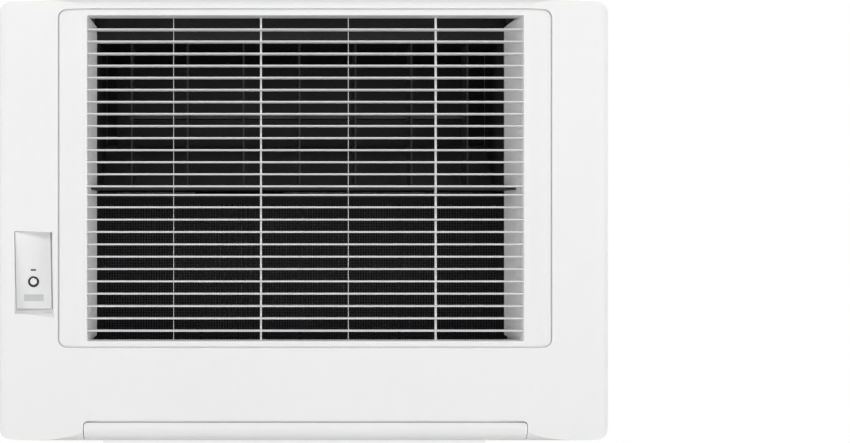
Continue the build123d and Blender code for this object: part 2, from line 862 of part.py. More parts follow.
link_length = (vane_count - 1) * vane_pitch + 2 * (slot_half + link_wall)
with BuildPart() as vane_link:
    with BuildSketch(Plane.XY.offset(link_z - link_thickness / 2)):
        with Locations((0, (link_front_y + link_back_y) / 2)):
            Rectangle(link_length, link_back_y - link_front_y)
        with Locations(*[(x, crank_y - link_arc_room / 2) for x in vane_xs]):
            Rectangle(2 * slot_half, 2 * slot_half + link_arc_room, mode=Mode.SUBTRACT)
    extrude(amount=link_thickness)
finish(vane_link.part, "vane_link")

with BuildPart() as swing_motor:
    with BuildSketch(Plane.XY.offset(motor_seat_z)):
        with Locations((vane_xs[drive_vane], vane_pivot_y)):
            Rectangle(swing_ear_length, swing_ear_width)
    extrude(amount=swing_ear_thickness)
    with BuildSketch(Plane.XY.offset(motor_seat_z)):
        with Locations((vane_xs[drive_vane], vane_pivot_y)):
            RegularPolygon(swing_motor_radius, drum_sides)
    extrude(amount=swing_motor_height)
    with BuildSketch(Plane.XY.offset(motor_seat_z)):
        with Locations((vane_xs[drive_vane], vane_pivot_y)):
            RegularPolygon(vane_pivot_radius + vane_pivot_gap, pin_sides)
    extrude(amount=swing_shaft_depth + vane_gap, mode=Mode.SUBTRACT)
finish(swing_motor.part, "swing_motor")


def fin_pack(half, y_from, y_to, groove_y, low, height, count):
    """A finned coil block with upright air grooves in the face at groove_y."""
    with BuildPart() as pack:
        with BuildSketch(Plane.XY.offset(low)):
            with Locations((0, (y_from + y_to) / 2)):
                Rectangle(2 * half, y_to - y_from)
            with Locations((0, groove_y)):
                with GridLocations(2 * half / count, 1, count, 1):
                    Rectangle(fin_groove, 2 * fin_groove_depth, mode=Mode.SUBTRACT)
        extrude(amount=height)
    return pack.part


def end_plates(half, y_from, y_to, low, high):
    """The two sheet plates at the ends of a coil."""
    with BuildPart() as plates:
        block((half, y_from, low), (half + coil_end_wall, y_to, high))
        block((-half - coil_end_wall, y_from, low), (-half, y_to, high))
    return plates.part


def tube_bends(end_x, mid_y, low, pitch, count):
    """The return bends of a coil, alternating between its two ends."""
    with BuildPart() as bends:
        with BuildSketch(Plane.XZ.offset(-mid_y + bend_diameter / 2)):
            for i in range(count):
                side = 1 if i % 2 else -1
                with Locations((side * end_x, low + i * pitch)):
                    RegularPolygon((pitch + bend_diameter) / 2, bend_sides)
                    RegularPolygon((pitch - bend_diameter) / 2, bend_sides, mode=Mode.SUBTRACT)
            with Locations((0, low + (count - 1) * pitch / 2)):
                Rectangle(2 * end_x, 2 * count * pitch, mode=Mode.SUBTRACT)
        extrude(amount=-bend_diameter)
    return bends.part


# Cooling coil
evaporator_fins = fin_pack(
    evaporator_half,
    evaporator_front_y,
    evaporator_back_y,
    evaporator_front_y,
    evaporator_low_z,
    evaporator_height,
    evaporator_fin_count,
)
finish(evaporator_fins, "evaporator_fins")
evaporator_plates = end_plates(
    evaporator_half, evaporator_front_y, evaporator_back_y, evaporator_low_z, evaporator_top_z
)
finish(evaporator_plates, "evaporator_plates")
evaporator_bends = tube_bends(
    evaporator_end_x,
    evaporator_mid_y,
    evaporator_low_z + evaporator_bend_start,
    evaporator_bend_pitch,
    evaporator_bend_count,
)
finish(evaporator_bends, "evaporator_bends")

tray_half = evaporator_end_x + evaporator_gap
tray_front_y = evaporator_front_y - evaporator_gap
tray_back_y = evaporator_back_y + evaporator_gap
tray_top_z = pan_floor_z + tray_height
with BuildPart() as drip_tray:
    block(
        (-tray_half - tray_wall, tray_front_y - tray_wall, pan_floor_z),
        (tray_half + tray_wall, tray_back_y + tray_wall, tray_top_z),
    )
    block(
        (-tray_half, tray_front_y, evaporator_low_z),
        (tray_half, tray_back_y, tray_top_z),
        mode=Mode.SUBTRACT,
    )
finish(drip_tray.part, "drip_tray")

# Partition between the coil and the blower, with the blower's inlet mouth
partition_half = duct_half + duct_wall + partition_margin
with BuildPart() as inlet_plate:
    block(
        (-partition_half, plate_front_y, pan_floor_z),
        (partition_half, scroll_front_y, duct_high_z + duct_wall + scroll_wall),
    )
    block(
        (-duct_half, plate_front_y, neck_low_z),
        (duct_half, scroll_front_y, duct_high_z),
        mode=Mode.SUBTRACT,
    )
    with BuildSketch(Plane.XZ.offset(-plate_front_y)):
        with Locations((fan_x, fan_z)):
            RegularPolygon(inlet_radius + inlet_plate_wall, wheel_sides)
    extrude(amount=-inlet_lip)
    with BuildSketch(Plane.XZ.offset(-plate_front_y)):
        with Locations((fan_x, fan_z)):
            RegularPolygon(inlet_radius, wheel_sides)
    extrude(amount=-inlet_lip, mode=Mode.SUBTRACT)
finish(inlet_plate.part, "inlet_plate")


def scroll_lines():
    """The scroll's inner outline: three quarter arcs of growing radius, then the outlet chamber."""
    quarters = 3
    growth = scroll_growth / quarters
    centre = Vector(fan_x, fan_z)
    radius = scroll_start_radius
    for quarter in range(quarters):
        arc = CenterArc(centre, radius, 90 * (quarter + 1), 90)
        outward = (arc @ 1 - centre).normalized()
        centre = centre - outward * growth
        radius = radius + growth
    Polyline(
        arc @ 1,
        ((arc @ 1).X, neck_low_z),
        (duct_half, neck_low_z),
        (duct_half, duct_high_z),
        (-duct_half, duct_high_z),
        (-duct_half, neck_low_z),
        (fan_x, neck_low_z),
        (fan_x, fan_z + scroll_start_radius),
    )


with BuildPart() as scroll_casing:
    with BuildSketch(Plane.XZ.offset(-scroll_front_y)):
        with BuildLine():
            scroll_lines()
        make_face()
        offset(amount=scroll_wall, kind=Kind.INTERSECTION)
    extrude(amount=-scroll_depth)
    with BuildSketch(Plane.XZ.offset(-scroll_front_y)):
        with BuildLine():
            scroll_lines()
        make_face()
    extrude(amount=-(scroll_depth - scroll_wall), mode=Mode.SUBTRACT)
    with BuildSketch(Plane.XZ.offset(-scroll_front_y)):
        with Locations((fan_x, fan_z)):
            RegularPolygon(hub_radius, drum_sides)
    extrude(amount=-scroll_depth, mode=Mode.SUBTRACT)
finish(scroll_casing.part, "scroll_casing")

# Blower wheel
blower_front_y = scroll_front_y + inlet_lip
blower_back_y = blower_front_y + blower_width
blade_span = blower_blade_depth / math.cos(math.radians(blower_blade_lean))
with BuildPart() as blower_wheel:
    with BuildSketch(Plane.XZ.offset(-blower_front_y)):
        with Locations((fan_x, fan_z)):
            with PolarLocations((blower_radius + blower_inner_radius) / 2, blower_blade_count):
                Rectangle(blade_span, blower_blade_thickness, rotation=blower_blade_lean)
    extrude(amount=-blower_width)
    with BuildSketch(Plane.XZ.offset(-blower_front_y)):
        with Locations((fan_x, fan_z)):
            RegularPolygon(blower_radius, wheel_sides)
            RegularPolygon(blower_inner_radius, wheel_sides, mode=Mode.SUBTRACT)
    extrude(amount=-blower_ring)
    with BuildSketch(Plane.XZ.offset(-blower_back_y)):
        with Locations((fan_x, fan_z)):
            RegularPolygon(blower_radius, wheel_sides)
    extrude(amount=blower_disc)
    with BuildSketch(Plane.XZ.offset(-blower_back_y)):
        with Locations((fan_x, fan_z)):
            RegularPolygon(hub_radius, drum_sides)
    extrude(amount=hub_length)
    with BuildSketch(Plane.XZ.offset(-blower_front_y)):
        with Locations((fan_x, fan_z)):
            RegularPolygon(shaft_radius + shaft_gap, drum_sides)
    extrude(amount=-blower_width, mode=Mode.SUBTRACT)
finish(blower_wheel.part, "blower_wheel")

# Bulkhead between the room side and the outdoor side
with BuildPart() as bulkhead:
    block(
        (-bulkhead_half, bulkhead_y, pan_floor_z),
        (bulkhead_half, bulkhead_y + bulkhead_wall, bulkhead_top_z),
    )
    with BuildSketch(Plane.XZ.offset(-bulkhead_y)):
        with Locations((fan_x, fan_z)):
            RegularPolygon(motor_nose_radius, drum_sides)
        with Locations((suction_x, suction_high_z)):
            RegularPolygon(pipe_diameter / 2 + pipe_hole_gap, pin_sides)
        with Locations((liquid_x, liquid_z)):
            RegularPolygon(liquid_pipe_diameter / 2 + pipe_hole_gap, pin_sides)
    extrude(amount=-bulkhead_wall, mode=Mode.SUBTRACT)
finish(bulkhead.part, "bulkhead")

# Fan motor: a drum with sloped ends and bearing noses, held by a strap on two legs
with BuildPart() as fan_motor:
    with BuildSketch(Plane.XZ.offset(-motor_front_y)):
        with Locations((fan_x, fan_z)):
            RegularPolygon(motor_radius, drum_sides)
    extrude(amount=-motor_length)
    drum_ends = fan_motor.faces().sort_by(Axis.Y)
    chamfer(drum_ends[0].edges() + drum_ends[-1].edges(), motor_edge)
    with BuildSketch(Plane.XZ.offset(-motor_front_y + motor_nose_length)):
        with Locations((fan_x, fan_z)):
            RegularPolygon(motor_nose_radius, drum_sides)
    extrude(amount=-(motor_length + 2 * motor_nose_length))
    with BuildSketch(Plane.XZ.offset(-motor_front_y + motor_nose_length)):
        with Locations((fan_x, fan_z)):
            RegularPolygon(shaft_radius + shaft_gap, drum_sides)
    extrude(amount=-(motor_length + 2 * motor_nose_length), mode=Mode.SUBTRACT)
finish(fan_motor.part, "fan_motor")

strap_inner = motor_radius + seat_gap
strap_radius = strap_inner + motor_bracket_wall
bracket_mid_y = (motor_front_y + motor_back_y) / 2
with BuildPart() as motor_bracket:
    with BuildSketch(Plane.XZ.offset(-bracket_mid_y + motor_bracket_width / 2)):
        for inset, mode in ((0, Mode.ADD), (motor_bracket_wall, Mode.SUBTRACT)):
            top = strap_radius - inset
            foot = strap_radius + motor_bracket_spread - inset
            with BuildLine():
                Polyline(
                    (fan_x - top, fan_z),
                    (fan_x + top, fan_z),
                    (fan_x + foot, pan_floor_z + inset),
                    (fan_x - foot, pan_floor_z + inset),
                    close=True,
                )
            make_face(mode=mode)
        with Locations((fan_x, fan_z)):
            RegularPolygon(strap_radius, drum_sides)
            RegularPolygon(strap_inner, drum_sides, mode=Mode.SUBTRACT)
    extrude(amount=-motor_bracket_width)
finish(motor_bracket.part, "motor_bracket")

# Shaft through the motor, with the propeller at its rear end
shaft_front_y = blower_back_y - hub_length
shaft_back_y = propeller_back_y - propeller_hub_wall
with BuildPart() as fan_shaft:
    with BuildSketch(Plane.XZ.offset(-shaft_front_y)):
        with Locations((fan_x, fan_z)):
            Circle(shaft_radius)
    extrude(amount=-(shaft_back_y - shaft_front_y))
finish(fan_shaft.part, "fan_shaft")

blade_lean = math.radians(propeller_pitch_angle)
root_radius = propeller_hub_radius - propeller_hub_wall
tip_radius = propeller_radius - slinger_bite
with BuildPart() as propeller_fan:
    for i in range(propeller_blade_count):
        turn = 2 * math.pi * i / propeller_blade_count
        outward = Vector(math.cos(turn), 0, math.sin(turn))
        around = Vector(-math.sin(turn), 0, math.cos(turn))
        across = around * math.cos(blade_lean) + Vector(0, math.sin(blade_lean), 0)
        blade_plane = Plane(
            origin=Vector(fan_x, propeller_mid_y, fan_z), x_dir=outward, z_dir=outward.cross(across)
        )
        with BuildSketch(blade_plane):
            with BuildLine():
                Polyline(
                    (root_radius, -propeller_root_width / 2),
                    (tip_radius, -propeller_blade_width / 2),
                    (tip_radius, propeller_blade_width / 2),
                    (root_radius, propeller_root_width / 2),
                    close=True,
                )
            make_face()
        extrude(amount=propeller_blade_thickness / 2, both=True)
    with BuildSketch(Plane.XZ.offset(-propeller_y)):
        with Locations((fan_x, fan_z)):
            RegularPolygon(propeller_hub_radius, drum_sides)
    extrude(amount=-propeller_hub_length)
    with BuildSketch(Plane.XZ.offset(-(propeller_mid_y - slinger_width / 2))):
        with Locations((fan_x, fan_z)):
            RegularPolygon(propeller_radius, wheel_sides)
            RegularPolygon(propeller_radius - slinger_wall, wheel_sides, mode=Mode.SUBTRACT)
    extrude(amount=-slinger_width)
    with BuildSketch(Plane.XZ.offset(-propeller_y)):
        with Locations((fan_x, fan_z)):
            RegularPolygon(shaft_radius + shaft_gap, drum_sides)
    extrude(amount=-(propeller_hub_length - propeller_hub_wall), mode=Mode.SUBTRACT)
finish(propeller_fan.part, "propeller_fan")

# Shroud between the propeller and the condenser
orifice_radius = propeller_radius + orifice_gap
with BuildPart() as fan_shroud:
    block(
        (-condenser_half, shroud_front_y, pan_floor_z),
        (condenser_half, shroud_back_y, condenser_top_z),
    )
    block(
        (-condenser_half + shroud_wall, shroud_front_y + shroud_wall, pan_floor_z + shroud_wall),
        (condenser_half - shroud_wall, shroud_back_y, condenser_top_z - shroud_wall),
        mode=Mode.SUBTRACT,
    )
    with BuildSketch(Plane.XZ.offset(-shroud_front_y)):
        with Locations((fan_x, fan_z)):
            RegularPolygon(orifice_radius + shroud_wall, wheel_sides)
    extrude(amount=-orifice_lip)
    with BuildSketch(Plane.XZ.offset(-shroud_front_y)):
        with Locations((fan_x, fan_z)):
            RegularPolygon(orifice_radius, wheel_sides)
    extrude(amount=-orifice_lip, mode=Mode.SUBTRACT)
finish(fan_shroud.part, "fan_shroud")

# Condenser
condenser_fins = fin_pack(
    condenser_half,
    condenser_front_y,
    condenser_back_y,
    condenser_back_y,
    condenser_low_z,
    condenser_top_z - condenser_low_z,
    condenser_fin_count,
)
finish(condenser_fins, "condenser_fins")
condenser_plates = end_plates(
    condenser_half, condenser_front_y, condenser_back_y, condenser_low_z, condenser_top_z
)
finish(condenser_plates, "condenser_plates")
condenser_bends = tube_bends(
    condenser_end_x,
    condenser_mid_y,
    condenser_low_z + condenser_bend_start,
    condenser_bend_pitch,
    condenser_bend_count,
)
finish(condenser_bends, "condenser_bends")

# Compressor: a welded shell with sloped ends on a three-cornered foot plate, rubber feet, studs and nuts
compressor_low_z = pan_floor_z + compressor_lift
compressor_top_z = compressor_low_z + compressor_height
shell_low_z = compressor_low_z + compressor_dome
foot_plate_z = pan_floor_z + compressor_foot_height
foot_spots = [
    (
        compressor_x + compressor_foot_radius * math.cos(math.radians(turn)),
        compressor_y + compressor_foot_radius * math.sin(math.radians(turn)),
    )
    for turn in (90, 210, 330)
]
with BuildPart() as compressor:
    with BuildSketch(Plane.XY.offset(compressor_low_z)):
        with Locations((compressor_x, compressor_y)):
            RegularPolygon(compressor_radius, drum_sides)
    extrude(amount=compressor_height)
    shell_ends = compressor.faces().sort_by(Axis.Z)
    chamfer(shell_ends[0].edges() + shell_ends[-1].edges(), compressor_dome)
    with BuildSketch(Plane.XY.offset(foot_plate_z)):
        with Locations(*foot_spots):
            Circle(grommet_radius)
        make_hull()
        with Locations(*foot_spots):
            RegularPolygon(stud_radius + stud_gap, pin_sides, mode=Mode.SUBTRACT)
    extrude(amount=foot_plate_wall)
finish(compressor.part, "compressor")

with BuildPart() as compressor_grommets:
    with BuildSketch(Plane.XY.offset(pan_floor_z)):
        with Locations(*foot_spots):
            RegularPolygon(grommet_radius, pin_sides)
            RegularPolygon(stud_radius + stud_gap, pin_sides, mode=Mode.SUBTRACT)
    extrude(amount=compressor_foot_height)
finish(compressor_grommets.part, "compressor_grommets")

with BuildPart() as compressor_studs:
    with BuildSketch(Plane.XY.offset(pan_floor_z)):
        with Locations(*foot_spots):
            RegularPolygon(stud_radius, pin_sides)
    extrude(amount=compressor_foot_height + foot_plate_wall + stud_proud)
    with BuildSketch(Plane.XY.offset(foot_plate_z + foot_plate_wall)):
        with Locations(*foot_spots):
            RegularPolygon(nut_radius, nut_sides)
    extrude(amount=nut_height)
finish(compressor_studs.part, "compressor_studs")


def pipe(points, diameter):
    """A bent tube: straight runs with each corner taken in two steps."""
    spots = [Vector(*point) for point in points]
    stops = [spots[0]]
    for before, corner, after in zip(spots, spots[1:], spots[2:]):
        stops.append(corner + (before - corner).normalized() * pipe_bend)
        stops.append(corner + (after - corner).normalized() * pipe_bend)
    stops.append(spots[-1])
    with BuildPart() as tube:
        with BuildLine() as route:
            Polyline(*stops)
        with BuildSketch(Plane(origin=stops[0], z_dir=stops[1] - stops[0])):
            RegularPolygon(diameter / 2, tube_sides)
        sweep(transition=Transition.RIGHT)
    return tube.part


# Suction accumulator beside the compressor
accumulator_reach = compressor_radius + accumulator_radius + accumulator_gap
accumulator_x = compressor_x - accumulator_reach * math.cos(math.radians(accumulator_turn))
accumulator_y = compressor_y + accumulator_reach * math.sin(math.radians(accumulator_turn))
accumulator_low_z = shell_low_z + accumulator_rise
accumulator_top_z = accumulator_low_z + accumulator_height
elbow = pipe(
    [
        (accumulator_x, accumulator_y, accumulator_low_z),
        (accumulator_x, accumulator_y, shell_low_z + pipe_bend),
        (compressor_x, compressor_y, shell_low_z + pipe_bend),
    ],
    pipe_diameter,
)
with BuildPart() as accumulator:
    with BuildSketch(Plane.XY.offset(accumulator_low_z)):
        with Locations((accumulator_x, accumulator_y)):
            RegularPolygon(accumulator_radius, drum_sides)
    extrude(amount=accumulator_height)
    add(elbow)
    with BuildSketch(Plane.XY.offset(shell_low_z)):
        with Locations((compressor_x, compressor_y)):
            RegularPolygon(compressor_radius + seat_gap, drum_sides)
    extrude(amount=accumulator_rise, mode=Mode.SUBTRACT)
finish(accumulator.part, "accumulator")

# Refrigerant pipes
suction_pipe = pipe(
    [
        (accumulator_x, accumulator_y, accumulator_top_z),
        (accumulator_x, accumulator_y, suction_high_z),
        (suction_x, accumulator_y, suction_high_z),
        (suction_x, evaporator_mid_y, suction_high_z),
        (suction_x, evaporator_mid_y, suction_low_z),
        (evaporator_end_x, evaporator_mid_y, suction_low_z),
    ],
    pipe_diameter,
)
finish(suction_pipe, "suction_pipe")
discharge_pipe = pipe(
    [
        (compressor_x, compressor_y, compressor_top_z),
        (compressor_x, compressor_y, discharge_z),
        (condenser_end_x + liquid_offset, compressor_y, discharge_z),
        (condenser_end_x + liquid_offset, condenser_mid_y, discharge_z),
        (condenser_end_x, condenser_mid_y, discharge_z),
    ],
    liquid_pipe_diameter,
)
finish(discharge_pipe, "discharge_pipe")
liquid_run = pipe(
    [
        (-condenser_end_x, condenser_mid_y, liquid_z),
        (liquid_x, condenser_mid_y, liquid_z),
        (liquid_x, evaporator_mid_y, liquid_z),
        (-evaporator_end_x, evaporator_mid_y, liquid_z),
    ],
    liquid_pipe_diameter,
)
with BuildPart() as liquid_pipe:
    add(liquid_run)
    with BuildSketch(Plane.XZ.offset(-compressor_y)):
        with Locations((liquid_x, liquid_z)):
            RegularPolygon(drier_radius, drum_sides)
    extrude(amount=-drier_length)
finish(liquid_pipe.part, "liquid_pipe")

# Base pan: a pressed tray with a drain hole at the rear
pan_mid_y = (pan_front_y + pan_rear_y) / 2
pan_length = pan_rear_y - pan_front_y
with BuildPart() as base_pan:
    with BuildSketch(Plane.XY.offset(pan_low_z)):
        with Locations((0, pan_mid_y)):
            RectangleRounded(2 * pan_half, pan_length, pan_corner_radius)
    extrude(amount=pan_lip)
    with BuildSketch(Plane.XY.offset(pan_floor_z)):
        with Locations((0, pan_mid_y)):
            RectangleRounded(
                2 * (pan_half - pan_wall),
                pan_length - 2 * pan_wall,
                pan_corner_radius - pan_wall,
            )
    extrude(amount=pan_lip, mode=Mode.SUBTRACT)
    with BuildSketch(Plane.XZ.offset(-pan_rear_y)):
        with Locations((nozzle_x, nozzle_z)):
            RegularPolygon(nozzle_bore_radius, drum_sides)
    extrude(amount=pan_wall, mode=Mode.SUBTRACT)
finish(base_pan.part, "base_pan")

with BuildPart() as drain_nozzle:
    with BuildSketch(Plane.XZ.offset(-pan_rear_y)):
        with Locations((nozzle_x, nozzle_z)):
            RegularPolygon(nozzle_radius + nozzle_flange, nut_sides)
    extrude(amount=-nozzle_flange_thickness)
    with BuildSketch(Plane.XZ.offset(-pan_rear_y)):
        with Locations((nozzle_x, nozzle_z)):
            Circle(nozzle_radius)
    extrude(amount=pan_rear_y - rear_y)
    with BuildSketch(Plane.XZ.offset(-pan_rear_y)):
        with Locations((nozzle_x, nozzle_z)):
            RegularPolygon(nozzle_bore_radius, drum_sides)
    extrude(amount=pan_rear_y - rear_y, mode=Mode.SUBTRACT)
finish(drain_nozzle.part, "drain_nozzle")

# Cabinet sleeve with outdoor louvres in its sides and top and mounting holes in its floor
screw_ys = [cabinet_mid_y + (i - (screw_count - 1) / 2) * screw_pitch for i in range(screw_count)]
mount_pitch_x = cabinet_width - 2 * mount_side_margin
mount_pitch_y = cabinet_rear_y - cabinet_front_y - 2 * mount_end_margin
with BuildPart() as cabinet:
    with BuildSketch(Plane.XZ.offset(-cabinet_front_y)):
        with Locations((0, cabinet_height / 2)):
            RectangleRounded(cabinet_width, cabinet_height, cabinet_corner_radius)
            RectangleRounded(
                cabinet_width - 2 * cabinet_wall,
                cabinet_height - 2 * cabinet_wall,
                cabinet_corner_radius - cabinet_wall,
                mode=Mode.SUBTRACT,
            )
    extrude(amount=cabinet_front_y - cabinet_rear_y)
    with BuildSketch(Plane.YZ.offset(-cabinet_width / 2)):
        with Locations((louvre_centre_y, louvre_side_z)):
            with GridLocations(louvre_pitch, louvre_row_pitch, louvre_columns, louvre_rows):
                Rectangle(louvre_width, louvre_length)
        with Locations(*[(y, screw_z) for y in screw_ys]):
            RegularPolygon(screw_radius, nut_sides)
    extrude(amount=cabinet_width, mode=Mode.SUBTRACT)
    with BuildSketch(Plane.XY.offset(cabinet_height)):
        with Locations((0, louvre_centre_y)):
            with GridLocations(louvre_row_pitch, louvre_pitch, louvre_rows, louvre_columns):
                Rectangle(louvre_length, louvre_width)
    extrude(amount=-2 * cabinet_wall, mode=Mode.SUBTRACT)
    with BuildSketch(Plane.XY):
        with Locations((0, cabinet_mid_y)):
            with GridLocations(mount_pitch_x, mount_pitch_y, 2, 2):
                Circle(mount_hole_radius)
    extrude(amount=cabinet_wall, mode=Mode.SUBTRACT)
finish(cabinet.part, "cabinet")

with BuildPart() as cabinet_screws:
    for side in (-1, 1):
        with BuildSketch(Plane.YZ.offset(side * cabinet_width / 2)):
            with Locations(*[(y, screw_z) for y in screw_ys]):
                RegularPolygon(screw_head_radius, pin_sides)
        extrude(amount=side * screw_head_height)
        with BuildSketch(Plane.YZ.offset(side * cabinet_width / 2)):
            with Locations(*[(y, screw_z) for y in screw_ys]):
                RegularPolygon(screw_radius - screw_gap, nut_sides)
        extrude(amount=-side * (cabinet_wall + pan_gap))
finish(cabinet_screws.part, "cabinet_screws")

# Control box on the bulkhead, beside the partition
box_left_x = -(cabinet_inner_half - control_side_gap)
box_right_x = box_left_x + control_box_width
box_front_y = bulkhead_y - control_box_depth
box_mid_y = (box_front_y + bulkhead_y) / 2
box_top_z = control_box_low_z + control_box_height
with BuildPart() as control_box:
    block((box_left_x, box_front_y, control_box_low_z), (box_right_x, bulkhead_y, box_top_z))
    block(
        (box_left_x + control_box_wall, box_front_y, control_box_low_z + control_box_wall),
        (box_right_x - control_box_wall, bulkhead_y - control_box_wall, box_top_z - control_box_wall),
        mode=Mode.SUBTRACT,
    )
finish(control_box.part, "control_box")

with BuildPart() as control_cover:
    block(
        (box_left_x, box_front_y - control_box_wall, control_box_low_z),
        (box_right_x, box_front_y, box_top_z),
    )
finish(control_cover.part, "control_cover")

board_left_x = box_left_x + control_box_wall
board_mid_z = box_top_z - control_board_margin - control_board_height / 2
with BuildPart() as control_board:
    with BuildSketch(Plane.YZ.offset(board_left_x)):
        with Locations((box_mid_y, board_mid_z)):
            Rectangle(control_box_depth - 2 * control_board_margin, control_board_height)
    extrude(amount=board_thickness)
    with BuildSketch(Plane.YZ.offset(board_left_x + board_thickness)):
        with Locations((box_mid_y, board_mid_z)):
            with GridLocations(relay_pitch_y, relay_pitch_z, relay_columns, relay_rows):
                Rectangle(relay_width, relay_height)
    extrude(amount=relay_depth)
finish(control_board.part, "control_board")

capacitor_x = (box_left_x + box_right_x) / 2
capacitor_low_z = control_box_low_z + control_box_wall
capacitor_radius = control_box_width / 2 - control_box_wall - capacitor_gap
with BuildPart() as run_capacitor:
    with BuildSketch(Plane.XY.offset(capacitor_low_z)):
        with Locations((capacitor_x, box_mid_y)):
            RegularPolygon(capacitor_radius, drum_sides)
    extrude(amount=capacitor_height)
    with BuildSketch(Plane.XY.offset(capacitor_low_z + capacitor_height)):
        with Locations((capacitor_x, box_mid_y)):
            with GridLocations(terminal_pitch, 1, 2, 1):
                Rectangle(terminal_width, terminal_depth)
    extrude(amount=terminal_height)
finish(run_capacitor.part, "run_capacitor")

# Cord gland: the bore alone, with nothing in it
with BuildPart() as cord_gland:
    with BuildSketch(Plane.XY.offset(panel_lift - gland_flange_thickness)):
        with Locations((gland_x, gland_y)):
            RegularPolygon(gland_radius + gland_flange, nut_sides)
    extrude(amount=gland_flange_thickness)
    with BuildSketch(Plane.XY.offset(panel_lift)):
        with Locations((gland_x, gland_y)):
            RegularPolygon(gland_radius, drum_sides)
    extrude(amount=gland_length)
    with BuildSketch(Plane.XY.offset(panel_lift - gland_flange_thickness)):
        with Locations((gland_x, gland_y)):
            Circle(gland_bore_radius)
    extrude(amount=gland_length + gland_flange_thickness, mode=Mode.SUBTRACT)
finish(cord_gland.part, "cord_gland")
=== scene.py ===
"""Window air conditioner: finishes, fine pieces and stage, laid out as an add-on."""

import json
import math

import bmesh
import bpy
from bpy.props import FloatProperty, FloatVectorProperty, IntProperty, PointerProperty
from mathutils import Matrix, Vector


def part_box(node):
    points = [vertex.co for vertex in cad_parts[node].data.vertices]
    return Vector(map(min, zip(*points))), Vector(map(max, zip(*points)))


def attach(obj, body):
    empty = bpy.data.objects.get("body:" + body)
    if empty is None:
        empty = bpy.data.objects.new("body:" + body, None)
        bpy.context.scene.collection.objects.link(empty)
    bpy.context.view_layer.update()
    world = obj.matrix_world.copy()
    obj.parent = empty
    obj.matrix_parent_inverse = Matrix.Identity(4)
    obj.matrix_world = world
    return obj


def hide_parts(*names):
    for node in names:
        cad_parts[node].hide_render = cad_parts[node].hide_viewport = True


bl_info = {
    "name": "Window air conditioner pieces",
    "version": (1, 0, 0),
    "blender": (4, 5, 0),
    "location": "View3D > Sidebar > Air Conditioner",
    "description": "Adds the fine pieces, the finishes and the stage of a window air conditioner",
    "category": "Object",
}

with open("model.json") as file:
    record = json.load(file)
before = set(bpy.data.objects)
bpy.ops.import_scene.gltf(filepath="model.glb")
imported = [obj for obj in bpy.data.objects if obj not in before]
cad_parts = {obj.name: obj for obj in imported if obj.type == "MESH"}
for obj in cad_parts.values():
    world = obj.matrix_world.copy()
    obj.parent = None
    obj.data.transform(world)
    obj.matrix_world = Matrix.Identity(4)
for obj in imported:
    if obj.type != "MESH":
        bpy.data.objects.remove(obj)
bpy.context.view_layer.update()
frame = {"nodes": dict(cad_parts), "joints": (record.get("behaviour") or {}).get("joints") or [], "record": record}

# Points closer than the first are one point; a point looked for by its place may be off by the second
tiny = 1e-6
near_enough = 1e-5

# Digits kept where points at like places are put together
level_digits = 5
depth_digits = 4

# Steps along rounded forms, sides round circles, and the angles over which an edge is shaded as sharp
edge_segments = 3
nose_steps = 12
web_steps = 6
bend_steps = 12
hood_length_steps = 12
hood_depth_steps = 5
tube_sides = 12
screw_sides = 24
button_sides = 48
moulding_angle = math.radians(30.0)
round_angle = math.radians(40.0)
button_angle = math.radians(45.0)
hood_angle = math.radians(50.0)

# Noise mostly lies between these two values
noise_low = 0.3
noise_high = 0.7

# Nodes that have a finish of their own in place of their slot's: the side guides wear a paler copy of the grille
# plastic, painted light that stands in for the light that barely reaches them inside the grille
own_finishes = {"grille_side_guides": "guide_plastic"}

# Pan head of a screw in shares of its rise and its radius, and its stem in a share of that radius
head_profile = ((0.0, 1.0), (0.45, 1.0), (0.75, 0.90), (0.93, 0.68), (1.0, 0.36))
stem_share = 0.5

# Button edge in shares of its rounding, back and inward, and the rings of its dish in shares of its face
edge_profile = ((1.0, 0.0), (0.45, 0.12), (0.12, 0.45), (0.0, 1.0))
dish_rings = (0.66, 0.33, 0.08)

# Stage: lamps by name, place, width, height and the setting of their power, then camera and floor
lamp_aim = Vector((0.0, -0.1, 0.2))
lamp_rows = (
    ("key_lamp", (0.0, -1.9, 1.6), 3.6, 0.6, "key_power"),
    ("left_lamp", (-3.4, -2.1, 0.15), 2.0, 1.0, "fill_power"),
    ("right_lamp", (3.4, -2.1, 0.15), 2.0, 1.0, "fill_power"),
    ("rear_lamp", (0.0, 2.8, 1.4), 3.2, 1.4, "rear_power"),
)
level_view = (math.radians(90.0), 0.0, 0.0)
floor_steps = 8
white = (1.0, 1.0, 1.0, 1.0)


# Settings

